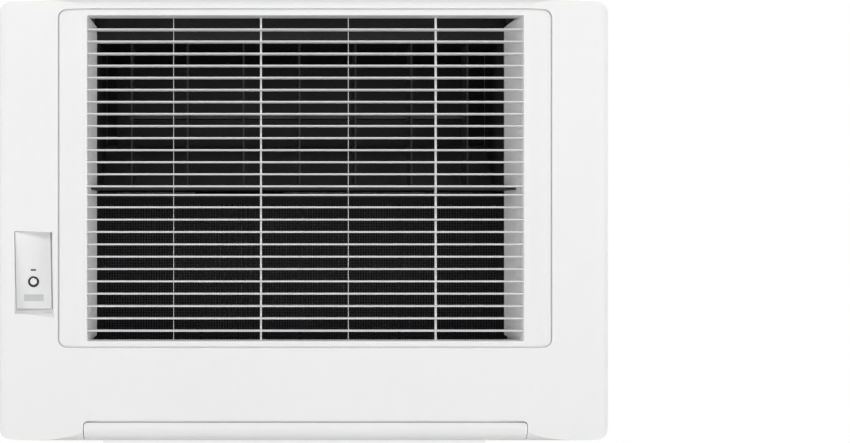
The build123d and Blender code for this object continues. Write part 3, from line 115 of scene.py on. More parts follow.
class FinishSettings(bpy.types.PropertyGroup):
    """Colours of the finishes, as linear values"""

    panel_colour: FloatVectorProperty(
        name="Panel", description="Moulded front panel", subtype="COLOR", default=(0.79, 0.79, 0.79))
    grille_colour: FloatVectorProperty(
        name="Grille", description="Snap-in grille", subtype="COLOR", default=(0.78, 0.78, 0.78))
    # Paler than the grille plastic the guides are made of: painted light for the light that barely reaches them
    # behind the blades
    painted_light_guide_colour: FloatVectorProperty(
        name="Side guides", description="Guides behind the grille", subtype="COLOR",
        default=(0.90, 0.90, 0.90))
    plate_colour: FloatVectorProperty(
        name="Receiver plate", description="Receiver plate", subtype="COLOR", default=(0.79, 0.79, 0.79))
    button_colour: FloatVectorProperty(
        name="Button", description="Push button", subtype="COLOR", default=(0.80, 0.80, 0.80))
    cabinet_colour: FloatVectorProperty(
        name="Cabinet", description="Powder coat on the cabinet", subtype="COLOR",
        default=(0.70, 0.70, 0.68))
    black_colour: FloatVectorProperty(
        name="Black plastic", description="Duct, vanes and fan", subtype="COLOR",
        default=(0.012, 0.012, 0.013))
    filter_colour: FloatVectorProperty(
        name="Filter", description="Filter frame and net", subtype="COLOR", default=(0.006, 0.006, 0.007))
    rubber_colour: FloatVectorProperty(
        name="Rubber", description="Compressor grommets", subtype="COLOR", default=(0.022, 0.021, 0.020))
    paint_colour: FloatVectorProperty(
        name="Black paint", description="Compressor and accumulator", subtype="COLOR",
        default=(0.016, 0.016, 0.017))
    pale_lens_colour: FloatVectorProperty(
        name="Receiver window", description="Receiver window", subtype="COLOR", default=(0.56, 0.57, 0.58))
    dark_lens_colour: FloatVectorProperty(
        name="Indicator lens", description="Indicator lens", subtype="COLOR", default=(0.05, 0.05, 0.055))
    copper_colour: FloatVectorProperty(
        name="Copper", description="Pipes and return bends", subtype="COLOR", default=(0.72, 0.36, 0.22))
    fin_colour: FloatVectorProperty(
        name="Fins", description="Aluminium fins", subtype="COLOR", default=(0.86, 0.87, 0.88))
    zinc_colour: FloatVectorProperty(
        name="Zinc", description="Zinc-coated sheet", subtype="COLOR", default=(0.52, 0.53, 0.54))
    steel_colour: FloatVectorProperty(
        name="Steel", description="Bare steel", subtype="COLOR", default=(0.46, 0.45, 0.44))
    board_colour: FloatVectorProperty(
        name="Circuit board", description="Circuit board", subtype="COLOR", default=(0.02, 0.11, 0.05))
    track_colour: FloatVectorProperty(
        name="Tracks", description="Tracks under the board's lacquer", subtype="COLOR",
        default=(0.10, 0.22, 0.09))


class PieceSettings(bpy.types.PropertyGroup):
    """Sizes of the fine pieces"""

    blade_thickness: FloatProperty(
        name="Blade thickness", description="Thickness of a grille blade", unit="LENGTH", default=0.0018)
    blade_chord: FloatProperty(
        name="Blade chord", description="Depth of a grille blade", unit="LENGTH", default=0.0080)
    blade_tail: FloatProperty(
        name="Blade tail", description="Thickness of a blade at its back", unit="LENGTH", default=0.0013)
    blade_nose: FloatProperty(
        name="Blade nose", description="Depth of a blade's rounded nose", unit="LENGTH", default=0.0034)
    blade_inset: FloatProperty(
        name="Blade inset", description="Blades behind the grille's face", unit="LENGTH", default=0.0008)
    rib_count: IntProperty(name="Ribs", description="Number of upright ribs", default=4, min=1)
    rib_pitch: FloatProperty(
        name="Rib pitch", description="Distance between the upright ribs", unit="LENGTH", default=0.0812)
    slim_rib: FloatProperty(
        name="Slim rib", description="Width of the first and third rib", unit="LENGTH", default=0.00035)
    wide_rib: FloatProperty(
        name="Wide rib", description="Width of the second and fourth rib", unit="LENGTH", default=0.0016)
    rib_depth: FloatProperty(
        name="Rib depth", description="Depth of a rib behind the blades", unit="LENGTH", default=0.0024)
    grille_edge: FloatProperty(
        name="Grille edge", description="Rounding of the grille's inner edge", unit="LENGTH",
        default=0.0006)
    seat_depth: FloatProperty(
        name="Seat depth", description="How far a piece runs into what holds it", unit="LENGTH",
        default=0.0004)
    web_rise: FloatProperty(
        name="Web rise", description="Handle webs above the strip", unit="LENGTH", default=0.0028)
    web_foot: FloatProperty(
        name="Web foot", description="Handle webs below the strip's top", unit="LENGTH", default=0.0050)
    web_inset: FloatProperty(
        name="Web inset", description="Handle webs inside the strip's ends", unit="LENGTH", default=0.0002)
    web_lap: FloatProperty(
        name="Web lap", description="Reach of the webs into the strip", unit="LENGTH", default=0.0010)
    web_corner: FloatProperty(
        name="Web corner", description="Rounding of the handle webs", unit="LENGTH", default=0.0030)
    net_pitch: FloatProperty(
        name="Net pitch", description="Distance between strands", unit="LENGTH", default=0.0016)
    strand_width: FloatProperty(
        name="Strand width", description="Width of a strand", unit="LENGTH", default=0.0010)
    fin_pitch: FloatProperty(
        name="Fin pitch", description="Distance between fins", unit="LENGTH", default=0.0024)
    fin_thickness: FloatProperty(
        name="Fin thickness", description="Thickness of a fin", unit="LENGTH", default=0.0004)
    fin_wave: FloatProperty(
        name="Fin wave", description="Sideways throw of a fin's folds", unit="LENGTH", default=0.0005)
    fin_folds: IntProperty(name="Fin folds", description="Folds through a fin's depth", default=4, min=1)
    fin_inset: FloatProperty(
        name="Fin inset", description="Room between fins and end plates", unit="LENGTH", default=0.0010)
    tube_radius: FloatProperty(
        name="Tube radius", description="Outer radius of the coil tubes", unit="LENGTH", default=0.0036)
    tube_pitch: FloatProperty(
        name="Tube pitch", description="Height between coil tubes", unit="LENGTH", default=0.025)
    hood_length: FloatProperty(
        name="Hood length", description="Length of a pressed hood", unit="LENGTH", default=0.046)
    hood_depth: FloatProperty(
        name="Hood depth", description="Depth of a pressed hood", unit="LENGTH", default=0.0095)
    hood_rise: FloatProperty(
        name="Hood rise", description="Height of a hood above the sheet", unit="LENGTH", default=0.0028)
    hood_sheet: FloatProperty(
        name="Hood sheet", description="Sheet thickness of a hood", unit="LENGTH", default=0.0008)
    louvre_pitch: FloatProperty(
        name="Louvre pitch", description="Distance between louvres", unit="LENGTH", default=0.020)
    louvre_columns: IntProperty(
        name="Louvre columns", description="Louvres along the cabinet", default=5, min=1)
    louvre_row_half: FloatProperty(
        name="Louvre rows", description="Half the distance between the two rows", unit="LENGTH",
        default=0.030)
    louvre_from_rear: FloatProperty(
        name="Louvre place", description="Middle of the louvres from the rear edge", unit="LENGTH",
        default=0.170)
    louvre_height: FloatProperty(
        name="Louvre height", description="Middle height of the side louvres", unit="LENGTH", default=0.215)
    louvre_width: FloatProperty(
        name="Louvre slot", description="Width of a louvre slot", unit="LENGTH", default=0.005)
    recess_width: FloatProperty(
        name="Recess width", description="Width of the cross recess", unit="LENGTH", default=0.0009)
    recess_reach: FloatProperty(
        name="Recess reach", description="Half length of the cross recess", unit="LENGTH", default=0.0022)
    recess_depth: FloatProperty(
        name="Recess depth", description="Depth of the cross recess", unit="LENGTH", default=0.0012)
    button_dish: FloatProperty(
        name="Button dish", description="Depth of the button's dished face", unit="LENGTH", default=0.0004)
    button_edge: FloatProperty(
        name="Button edge", description="Rounding of the button's edge", unit="LENGTH", default=0.0005)


class StageSettings(bpy.types.PropertyGroup):
    """Camera, lamps and floor"""

    camera_place: FloatVectorProperty(
        name="Camera", description="Camera position", subtype="TRANSLATION",
        default=(-0.066, -1.160, 0.2057))
    lens: FloatProperty(name="Lens", description="Focal length on a 36 mm sensor", default=38.69)
    shift: FloatProperty(
        name="Shift", description="Sideways camera shift that frames the unit", default=0.2251)
    floor_colour: FloatVectorProperty(
        name="Floor", description="Pale floor", subtype="COLOR", default=(0.80, 0.80, 0.80))
    floor_drop: FloatProperty(
        name="Floor drop", description="Floor below the unit's base", unit="LENGTH", default=0.30)
    floor_half: FloatProperty(
        name="Floor half", description="Half the width of the floor", unit="LENGTH", default=6.0)
    shadow_near: FloatProperty(
        name="Shadow near", description="Where the floor starts to fade to white", unit="LENGTH",
        default=0.55)
    shadow_far: FloatProperty(
        name="Shadow far", description="Where the floor is white", unit="LENGTH", default=1.15)
    shadow_glow: FloatProperty(
        name="Shadow glow", description="White share of the floor near the unit", default=0.45)
    plinth_colour: FloatVectorProperty(
        name="Plinth", description="Pale plinth", subtype="COLOR", default=(0.88, 0.88, 0.88))
    plinth_inset: FloatProperty(
        name="Plinth inset", description="Plinth inside the cabinet's footprint", unit="LENGTH",
        default=0.075)
    plinth_edge: FloatProperty(
        name="Plinth edge", description="Rounding of the plinth", unit="LENGTH", default=0.004)
    key_power: FloatProperty(
        name="Key lamp", description="Power of the lamp above the front", subtype="POWER", default=28.0)
    fill_power: FloatProperty(
        name="Fill lamp", description="Power of the two lamps beside the front", subtype="POWER",
        default=58.0)
    rear_power: FloatProperty(
        name="Rear lamp", description="Power of the lamp behind", subtype="POWER", default=30.0)
    world_level: FloatProperty(
        name="Room light", description="Strength of the even room light", default=0.25)


# Finishes

def new_material(name):
    """A fresh material; the plain one of that name that came with the model makes way for it."""
    plain = bpy.data.materials.get(name)
    if plain is not None:
        bpy.data.materials.remove(plain)
    material = bpy.data.materials.new(name)
    material.use_nodes = True
    tree = material.node_tree
    return material, tree, tree.nodes["Principled BSDF"]


def add_node(tree, kind, **values):
    """Adds a node and sets its sockets and settings by name."""
    node = tree.nodes.new(kind)
    for key, value in values.items():
        if key in node.inputs:
            node.inputs[key].default_value = value
        else:
            setattr(node, key, value)
    return node


def link_place(tree, socket):
    """Feeds a socket with the place on the piece."""
    place = tree.nodes.new("ShaderNodeTexCoord")
    tree.links.new(place.outputs["Object"], socket)


def object_noise(tree, scale, detail=3.0, stretch=(1.0, 1.0, 1.0)):
    """Noise fixed to the piece, its scale in grains per metre."""
    mapping = add_node(tree, "ShaderNodeMapping", Scale=stretch)
    link_place(tree, mapping.inputs["Vector"])
    noise = add_node(tree, "ShaderNodeTexNoise", Scale=scale, Detail=detail)
    tree.links.new(mapping.outputs["Vector"], noise.inputs["Vector"])
    return noise


def tone_ramp(tree, source, colour, low, high):
    """Colour varied between two shares of itself by a texture."""
    ramp = tree.nodes.new("ShaderNodeValToRGB")
    for stop, place, share in zip(ramp.color_ramp.elements, (noise_low, noise_high), (low, high)):
        stop.position = place
        stop.color = [channel * share for channel in colour] + [1.0]
    tree.links.new(source, ramp.inputs["Fac"])
    return ramp.outputs["Color"]


def map_range(tree, source, **ends):
    """A value carried over from one range to another."""
    span = add_node(tree, "ShaderNodeMapRange", **ends)
    tree.links.new(source, span.inputs["Value"])
    return span.outputs["Result"]


def add_rough(tree, shader, source, low, high):
    """Roughness varied between two values by a texture."""
    ends = {"From Min": noise_low, "From Max": noise_high, "To Min": low, "To Max": high}
    tree.links.new(map_range(tree, source, **ends), shader.inputs["Roughness"])


def add_bump(tree, shader, source, strength, distance):
    """Relief from a texture."""
    bump = add_node(tree, "ShaderNodeBump", Strength=strength, Distance=distance)
    tree.links.new(source, bump.inputs["Height"])
    tree.links.new(bump.outputs["Normal"], shader.inputs["Normal"])


def grained(name, colour, rough, tone, cloud, grain, bump, metallic=0.0, specular=0.5,
            stretch=(1.0, 1.0, 1.0)):
    """Finish with soft clouds in its tone and a fine grain in its surface."""
    material, tree, shader = new_material(name)
    clouds = object_noise(tree, cloud, detail=4.0, stretch=stretch)
    fine = object_noise(tree, grain, detail=2.0, stretch=stretch)
    colours = tone_ramp(tree, clouds.outputs["Fac"], colour, *tone)
    tree.links.new(colours, shader.inputs["Base Color"])
    add_rough(tree, shader, fine.outputs["Fac"], *rough)
    shader.inputs["Metallic"].default_value = metallic
    shader.inputs["Specular IOR Level"].default_value = specular
    add_bump(tree, shader, fine.outputs["Fac"], *bump)
    return material


def zinc_sheet(name, colour):
    """Zinc-coated sheet with its spangle."""
    material, tree, shader = new_material(name)
    cells = add_node(tree, "ShaderNodeTexVoronoi", Scale=160.0)
    link_place(tree, cells.inputs["Vector"])
    split = tree.nodes.new("ShaderNodeSeparateColor")
    tree.links.new(cells.outputs["Color"], split.inputs["Color"])
    colours = tone_ramp(tree, split.outputs["Red"], colour, low=0.82, high=1.12)
    tree.links.new(colours, shader.inputs["Base Color"])
    add_rough(tree, shader, split.outputs["Green"], low=0.34, high=0.52)
    shader.inputs["Metallic"].default_value = 0.9
    fine = object_noise(tree, scale=900.0)
    add_bump(tree, shader, fine.outputs["Fac"], strength=0.12, distance=0.0002)
    return material


def board_finish(name, colour, track_colour):
    """Circuit board with copper tracks under its lacquer."""
    material, tree, shader = new_material(name)
    shade = [channel * 0.75 for channel in colour]
    tracks = add_node(
        tree, "ShaderNodeTexBrick", Scale=260.0, Color1=list(colour) + [1.0], Color2=shade + [1.0],
        Mortar=list(track_colour) + [1.0])
    tracks.inputs["Mortar Size"].default_value = 0.03
    link_place(tree, tracks.inputs["Vector"])
    tree.links.new(tracks.outputs["Color"], shader.inputs["Base Color"])
    fine = object_noise(tree, scale=700.0)
    add_rough(tree, shader, fine.outputs["Fac"], low=0.25, high=0.40)
    add_bump(tree, shader, tracks.outputs["Fac"], strength=0.3, distance=0.0001)
    return material


def make_finishes(colours):
    """One finish for each material slot of the record, and for the side guides a paler copy of the grille plastic,
    painted light for the light they lack.
    """
    even = (0.985, 1.0)
    moulded = (0.20, 0.0002)
    shell = dict(rough=(0.56, 0.66), tone=even, grain=1500.0, bump=moulded, specular=0.25)
    rows = {
        "panel_plastic": dict(shell, colour=colours.panel_colour, cloud=7.0),
        "grille_plastic": dict(shell, colour=colours.grille_colour, cloud=9.0),
        # Painted light: the side guides are the grille's plastic, made paler to stand in for light that barely
        # reaches them
        "guide_plastic": dict(shell, colour=colours.painted_light_guide_colour, cloud=9.0),
        "plate_plastic": dict(
            colour=colours.plate_colour, rough=(0.50, 0.60), tone=even, cloud=20.0, grain=1800.0,
            bump=moulded, specular=0.3),
        "button_plastic": dict(
            colour=colours.button_colour, rough=(0.40, 0.50), tone=even, cloud=60.0, grain=2500.0,
            bump=moulded, specular=0.4),
        "filter_plastic": dict(
            colour=colours.filter_colour, rough=(0.55, 0.68), tone=(0.8, 1.2), cloud=30.0, grain=1200.0,
            bump=(0.2, 0.0002)),
        "filter_net": dict(
            colour=colours.filter_colour, rough=(0.60, 0.75), tone=(0.7, 1.1), cloud=60.0, grain=2400.0,
            bump=(0.2, 0.0001), specular=0.2),
        "black_plastic": dict(
            colour=colours.black_colour, rough=(0.48, 0.62), tone=(0.8, 1.2), cloud=25.0, grain=1300.0,
            bump=(0.18, 0.0002)),
        "rubber": dict(
            colour=colours.rubber_colour, rough=(0.75, 0.90), tone=(0.8, 1.25), cloud=80.0, grain=1800.0,
            bump=(0.3, 0.0003)),
        "black_paint": dict(
            colour=colours.paint_colour, rough=(0.22, 0.32), tone=(0.9, 1.1), cloud=15.0, grain=350.0,
            bump=(0.12, 0.0003)),
        "cabinet_paint": dict(
            colour=colours.cabinet_colour, rough=(0.46, 0.58), tone=(0.965, 1.0), cloud=12.0, grain=650.0,
            bump=(0.22, 0.0003)),
        "bare_steel": dict(
            colour=colours.steel_colour, rough=(0.26, 0.42), tone=(0.85, 1.1), cloud=40.0, grain=900.0,
            bump=(0.15, 0.0002), metallic=1.0, stretch=(1.0, 8.0, 1.0)),
        "fin_aluminium": dict(
            colour=colours.fin_colour, rough=(0.36, 0.50), tone=(0.94, 1.02), cloud=90.0, grain=1100.0,
            bump=(0.15, 0.0002), metallic=0.6),
        "copper": dict(
            colour=colours.copper_colour, rough=(0.26, 0.46), tone=(0.62, 1.08), cloud=70.0, grain=800.0,
            bump=(0.12, 0.0002), metallic=0.95),
        "dark_lens": dict(
            colour=colours.dark_lens_colour, rough=(0.08, 0.14), tone=(0.9, 1.1), cloud=200.0, grain=900.0,
            bump=(0.03, 0.0001)),
        "pale_lens": dict(
            colour=colours.pale_lens_colour, rough=(0.14, 0.22), tone=(0.95, 1.03), cloud=120.0,
            grain=1400.0, bump=(0.05, 0.0001)),
    }
    finishes = {name: grained(name, **values) for name, values in rows.items()}
    finishes["zinc_steel"] = zinc_sheet("zinc_steel", colours.zinc_colour)
    finishes["circuit_board"] = board_finish("circuit_board", colours.board_colour, colours.track_colour)
    return finishes


def seen_rays(tree):
    """One where a surface is seen straight, mirrored or through glass, and nought where it only lights."""
    path = tree.nodes.new("ShaderNodeLightPath")
    total = path.outputs["Is Camera Ray"]
    for name in ("Is Glossy Ray", "Is Transmission Ray"):
        either = add_node(tree, "ShaderNodeMath", operation="MAXIMUM")
        tree.links.new(total, either.inputs[0])
        tree.links.new(path.outputs[name], either.inputs[1])
        total = either.outputs["Value"]
    return total


def mix_shaders(tree, share, first, second, output):
    """Sends two shaders, mixed by a share, to an output."""
    mix = tree.nodes.new("ShaderNodeMixShader")
    tree.links.new(share, mix.inputs["Fac"])
    tree.links.new(first, mix.inputs[1])
    tree.links.new(second, mix.inputs[2])
    tree.links.new(mix.outputs["Shader"], tree.nodes[output].inputs["Surface"])


def finish_of(slot):
    """The finish made for a slot."""
    material = bpy.data.materials.get(slot)
    if material is None:
        raise RuntimeError("no finish named " + slot + "; dress the model first")
    return material


# Mesh helpers

def add_block(mesh, low, high):
    """Adds a block with sharp corners to a mesh."""
    corners = []
    for x in (low[0], high[0]):
        for y in (low[1], high[1]):
            for z in (low[2], high[2]):
                corners.append(mesh.verts.new((x, y, z)))
    for ring in ((0, 1, 3, 2), (4, 6, 7, 5), (0, 4, 5, 1), (2, 3, 7, 6), (0, 2, 6, 4), (1, 5, 7, 3)):
        mesh.faces.new([corners[index] for index in ring])


def add_rings(mesh, rings):
    """Skins a row of rings of equal length and caps both ends."""
    rows = [[mesh.verts.new(point) for point in ring] for ring in rings]
    for first, second in zip(rows, rows[1:]):
        count = len(first)
        for index in range(count):
            after = (index + 1) % count
            mesh.faces.new((first[index], first[after], second[after], second[index]))
    mesh.faces.new(list(reversed(rows[0])))
    mesh.faces.new(rows[-1])


def add_grid(mesh, grid):
    """Skins a grid of corners."""
    for first, second in zip(grid, grid[1:]):
        for index in range(len(first) - 1):
            mesh.faces.new((first[index], second[index], second[index + 1], first[index + 1]))


def circle(radius, sides):
    """Points round a circle."""
    step = 2.0 * math.pi / sides
    return [(radius * math.cos(step * index), radius * math.sin(step * index)) for index in range(sides)]


def even_places(low, high, pitch):
    """Middles of as many pieces as fit between two ends at a pitch, with equal room at each."""
    count = int((high - low) / pitch)
    room = ((high - low) - (count - 1) * pitch) / 2.0
    return [low + room + index * pitch for index in range(count)]


def separate_points(data):
    """The points of each separate body in a node's mesh."""
    source = bmesh.new()
    source.from_mesh(data)
    bmesh.ops.remove_doubles(source, verts=source.verts, dist=tiny)
    waiting = set(source.verts)
    found = []
    for start in source.verts:
        if start not in waiting:
            continue
        waiting.remove(start)
        stack = [start]
        points = []
        while stack:
            vert = stack.pop()
            points.append(vert.co.copy())
            for edge in vert.link_edges:
                other = edge.other_vert(vert)
                if other in waiting:
                    waiting.remove(other)
                    stack.append(other)
        found.append(points)
    source.free()
    return found


def corners_of(points):
    """Lowest and highest corner of the box round some points."""
    low = Vector([min(point[axis] for point in points) for axis in range(3)])
    high = Vector([max(point[axis] for point in points) for axis in range(3)])
    return low, high


def link_object(mesh, name):
    """Makes an object of a mesh and puts it in the scene."""
    data = bpy.data.meshes.new(name)
    mesh.to_mesh(data)
    mesh.free()
    piece = bpy.data.objects.new(name, data)
    bpy.context.scene.collection.objects.link(piece)
    return piece


def finish_piece(mesh, name, slot, body, nodes, smooth_angle=None):
    """Makes a piece of a mesh, gives it its finish and hands it to its body."""
    bmesh.ops.recalc_face_normals(mesh, faces=mesh.faces)
    piece = link_object(mesh, name)
    if smooth_angle is not None:
        piece.data.shade_smooth()
        piece.data.set_sharp_from_angle(angle=smooth_angle)
    piece.data.materials.append(finish_of(slot))
    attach(piece, body)
    if nodes:
        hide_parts(*nodes)
    return piece


# Operators

class DressModel(bpy.types.Operator):
    """Gives every node of the model the finish of its material slot, and the side guides a paler copy of theirs
    that is painted light
    """

    bl_idname = "air_unit.dress_model"
    bl_label = "Dress the model"

    def execute(self, context):
        finishes = make_finishes(context.scene.air_unit_finish)
        for entry in frame["record"]["subparts"]:
            finish = own_finishes.get(entry["node"], entry["material_slot"])
            if finish not in finishes:
                raise RuntimeError("no finish named " + finish)
            data = frame["nodes"][entry["node"]].data
            data.materials.clear()
            data.materials.append(finishes[finish])
        return {"FINISHED"}


class MouldGrille(bpy.types.Operator):
    """Moulds the grille: its border, a lip round the opening, slim rounded blades and thin ribs"""

    bl_idname = "air_unit.mould_grille"
    bl_label = "Mould the grille"

    def execute(self, context):
        sizes = context.scene.air_unit_pieces
        guide_low, guide_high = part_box("grille_side_guides")
        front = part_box("front_grille")[0].y
        nose = front + sizes.blade_inset
        points = [vert.co for vert in frame["nodes"]["front_grille"].data.vertices]
        noses = [point for point in points if abs(point.y - nose) < near_enough]
        if not noses:
            raise RuntimeError("no blade noses found in the grille")
        levels = sorted({round(point.z, level_digits) for point in noses})
        reach = max(point.x for point in noses) + sizes.seat_depth
        mesh = bmesh.new()
        low_z, high_z = self.border(mesh, sizes, front, guide_low, guide_high)
        for level in levels:
            self.blade(mesh, sizes, nose, level, reach)
        back = nose + sizes.blade_chord
        for index in range(sizes.rib_count):
            width = sizes.wide_rib if index % 2 else sizes.slim_rib
            x = (index - (sizes.rib_count - 1) / 2.0) * sizes.rib_pitch
            add_block(
                mesh, (x - width / 2.0, back - sizes.seat_depth, low_z - sizes.seat_depth),
                (x + width / 2.0, back + sizes.rib_depth, high_z + sizes.seat_depth))
        piece = finish_piece(
            mesh, "moulded_grille", "grille_plastic", "chassis", ["front_grille"], moulding_angle)
        piece.modifiers.new("even_shading", "WEIGHTED_NORMAL").keep_sharp = True
        return {"FINISHED"}

    def border(self, mesh, sizes, front, guide_low, guide_high):
        """Keeps the border of the model's grille and runs a new lip back from it to the side guides."""
        flush = front + sizes.blade_inset / 2.0
        source = bmesh.new()
        source.from_mesh(frame["nodes"]["front_grille"].data)
        bmesh.ops.remove_doubles(source, verts=source.verts, dist=tiny)
        copies = {}
        for face in source.faces:
            centre = face.calc_center_median()
            outside = abs(centre.x) > guide_high.x + tiny
            outside = outside or centre.z < guide_low.z - tiny or centre.z > guide_high.z + tiny
            if outside or all(vert.co.y < flush for vert in face.verts):
                for vert in face.verts:
                    if vert not in copies:
                        copies[vert] = mesh.verts.new(vert.co)
                mesh.faces.new([copies[vert] for vert in face.verts])
        source.free()
        rims = [edge for edge in mesh.edges if edge.is_boundary]
        opening = [edge for edge in rims if all(vert.co.y < flush for vert in edge.verts)]
        heights = [vert.co.z for edge in opening for vert in edge.verts]
        ends = []
        for rim in (opening, [edge for edge in rims if edge not in opening]):
            made = bmesh.ops.extrude_edge_only(mesh, edges=rim)["geom"]
            for item in made:
                if isinstance(item, bmesh.types.BMVert):
                    item.co.y = guide_low.y
            ends += [item for item in made if isinstance(item, bmesh.types.BMEdge) and item.is_boundary]
        bmesh.ops.bridge_loops(mesh, edges=ends)
        bmesh.ops.bevel(
            mesh, geom=opening, offset=sizes.grille_edge, segments=edge_segments, profile=0.5,
            affect="EDGES")
        return min(heights), max(heights)

    def blade(self, mesh, sizes, nose, level, reach):
        """One level blade, round at its nose and slimmer at its tail."""
        profile = []
        for step in range(nose_steps + 1):
            angle = math.pi * (step / nose_steps - 0.5)
            y = nose + sizes.blade_nose * (1.0 - math.cos(angle))
            profile.append((y, level + sizes.blade_thickness / 2.0 * math.sin(angle)))
        back = nose + sizes.blade_chord
        profile += [(back, level + sizes.blade_tail / 2.0), (back, level - sizes.blade_tail / 2.0)]
        add_rings(mesh, [[(x, y, z) for y, z in profile] for x in (-reach, reach)])


class MouldWebs(bpy.types.Operator):
    """Moulds the webs that carry on the handle's hook behind the two ends of its gap"""

    bl_idname = "air_unit.mould_webs"
    bl_label = "Mould the handle webs"

    def execute(self, context):
        sizes = context.scene.air_unit_pieces
        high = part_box("filter_handle")[1]
        points = [vert.co for vert in frame["nodes"]["filter_handle"].data.vertices]
        hook = [point for point in points if point.z > high.z - near_enough]
        front = min(point.y for point in hook)
        back = max(point.y for point in hook)
        strip_top = max(point.z for point in points if point.y < front - near_enough)
        near = max(point.x for point in hook) - sizes.seat_depth
        far = high.x - sizes.web_inset
        foot = strip_top - sizes.web_foot
        top = strip_top + sizes.web_rise
        outline = [(near, foot), (far, foot)]
        for step in range(web_steps + 1):
            angle = math.pi / 2.0 * step / web_steps
            x = far - sizes.web_corner * (1.0 - math.cos(angle))
            outline.append((x, top - sizes.web_corner * (1.0 - math.sin(angle))))
        outline.append((near, top))
        mesh = bmesh.new()
        for side in (-1.0, 1.0):
            add_rings(mesh, [[(side * x, y, z) for x, z in outline] for y in (front, back)])
            inner, outer = sorted((side * near, side * (far - sizes.web_corner)))
            lap_front = front - sizes.web_lap
            add_block(mesh, (inner, lap_front, foot), (outer, front, strip_top - sizes.web_corner))
        finish_piece(mesh, "handle_corner_webs", "panel_plastic", "filter", [], round_angle)
        return {"FINISHED"}


class WeaveNet(bpy.types.Operator):
    """Weaves the filter's net from crossing strands"""

    bl_idname = "air_unit.weave_net"
    bl_label = "Weave the filter net"

    def execute(self, context):
        sizes = context.scene.air_unit_pieces
        low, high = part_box("air_filter_mesh")
        middle = (low.y + high.y) / 2.0
        half = sizes.strand_width / 2.0
        mesh = bmesh.new()
        for x in even_places(low.x, high.x, sizes.net_pitch):
            add_block(mesh, (x - half, middle, low.z), (x + half, high.y, high.z))
        for z in even_places(low.z, high.z, sizes.net_pitch):
            add_block(mesh, (low.x, low.y, z - half), (high.x, middle, z + half))
        finish_piece(mesh, "woven_net", "filter_net", "filter", ["air_filter_mesh"])
        return {"FINISHED"}


class StackFins(bpy.types.Operator):
    """Stacks the thin folded fins of both coils on their tubes"""

    bl_idname = "air_unit.stack_fins"
    bl_label = "Stack the coil fins"

    def execute(self, context):
        sizes = context.scene.air_unit_pieces
        self.stack(sizes, "condenser_fins", "condenser_fin_stack")
        self.stack(sizes, "evaporator_fins", "evaporator_fin_stack")
        return {"FINISHED"}

    def stack(self, sizes, node, name):
        """One coil's fins, with its tubes running through them."""
        low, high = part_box(node)
        mesh = bmesh.new()
        reach = high.x - low.x - 2.0 * (sizes.fin_inset + sizes.fin_wave)
        count = int(reach / sizes.fin_pitch)
        first = (low.x + high.x - count * sizes.fin_pitch) / 2.0
        half = sizes.fin_thickness / 2.0
        for index in range(count + 1):
            x = first + index * sizes.fin_pitch
            rings = []
            for fold in range(sizes.fin_folds + 1):
                y = low.y + (high.y - low.y) * fold / sizes.fin_folds
                offset = sizes.fin_wave if fold % 2 else -sizes.fin_wave
                left = x + offset - half
                right = x + offset + half
                rings.append([(left, y, low.z), (right, y, low.z), (right, y, high.z), (left, y, high.z)])
            add_rings(mesh, rings)
        middle = (low.y + high.y) / 2.0
        ring = circle(sizes.tube_radius, tube_sides)
        for z in even_places(low.z, high.z, sizes.tube_pitch):
            add_rings(mesh, [[(x, middle + a, z + b) for a, b in ring] for x in (low.x, high.x)])
        finish_piece(mesh, name, "fin_aluminium", "chassis", [node])


class BendTubes(bpy.types.Operator):
    """Bends the round return tubes at the ends of both coils"""

    bl_idname = "air_unit.bend_tubes"
    bl_label = "Bend the return tubes"

    def execute(self, context):
        for coil in ("condenser", "evaporator"):
            node = coil + "_bends"
            mesh = bmesh.new()
            for points in separate_points(frame["nodes"][node].data):
                self.bend(mesh, points)
            finish_piece(mesh, coil + "_return_tubes", "copper", "chassis", [node], round_angle)
        return {"FINISHED"}

    def bend(self, mesh, points):
        """One half turn of tube in the space of the model's bend."""
        low, high = corners_of(points)
        middle_y = (low.y + high.y) / 2.0
        middle_z = (low.z + high.z) / 2.0
        radius = (high.y - low.y) / 2.0
        outward = 1.0 if low.x + high.x > 0.0 else -1.0
        root = low.x if outward > 0.0 else high.x
        swing = (high.z - low.z) / 2.0 - radius
        reach = high.x - low.x - radius
        rings = []
        for step in range(bend_steps + 1):
            angle = -math.pi / 2.0 + math.pi * step / bend_steps
            along = Vector((outward * math.cos(angle), 0.0, math.sin(angle)))
            centre = Vector((root + along.x * reach, middle_y, middle_z + along.z * swing))
            ring = circle(radius, tube_sides)
            rings.append([centre + along * a + Vector((0.0, b, 0.0)) for a, b in ring])
        add_rings(mesh, rings)


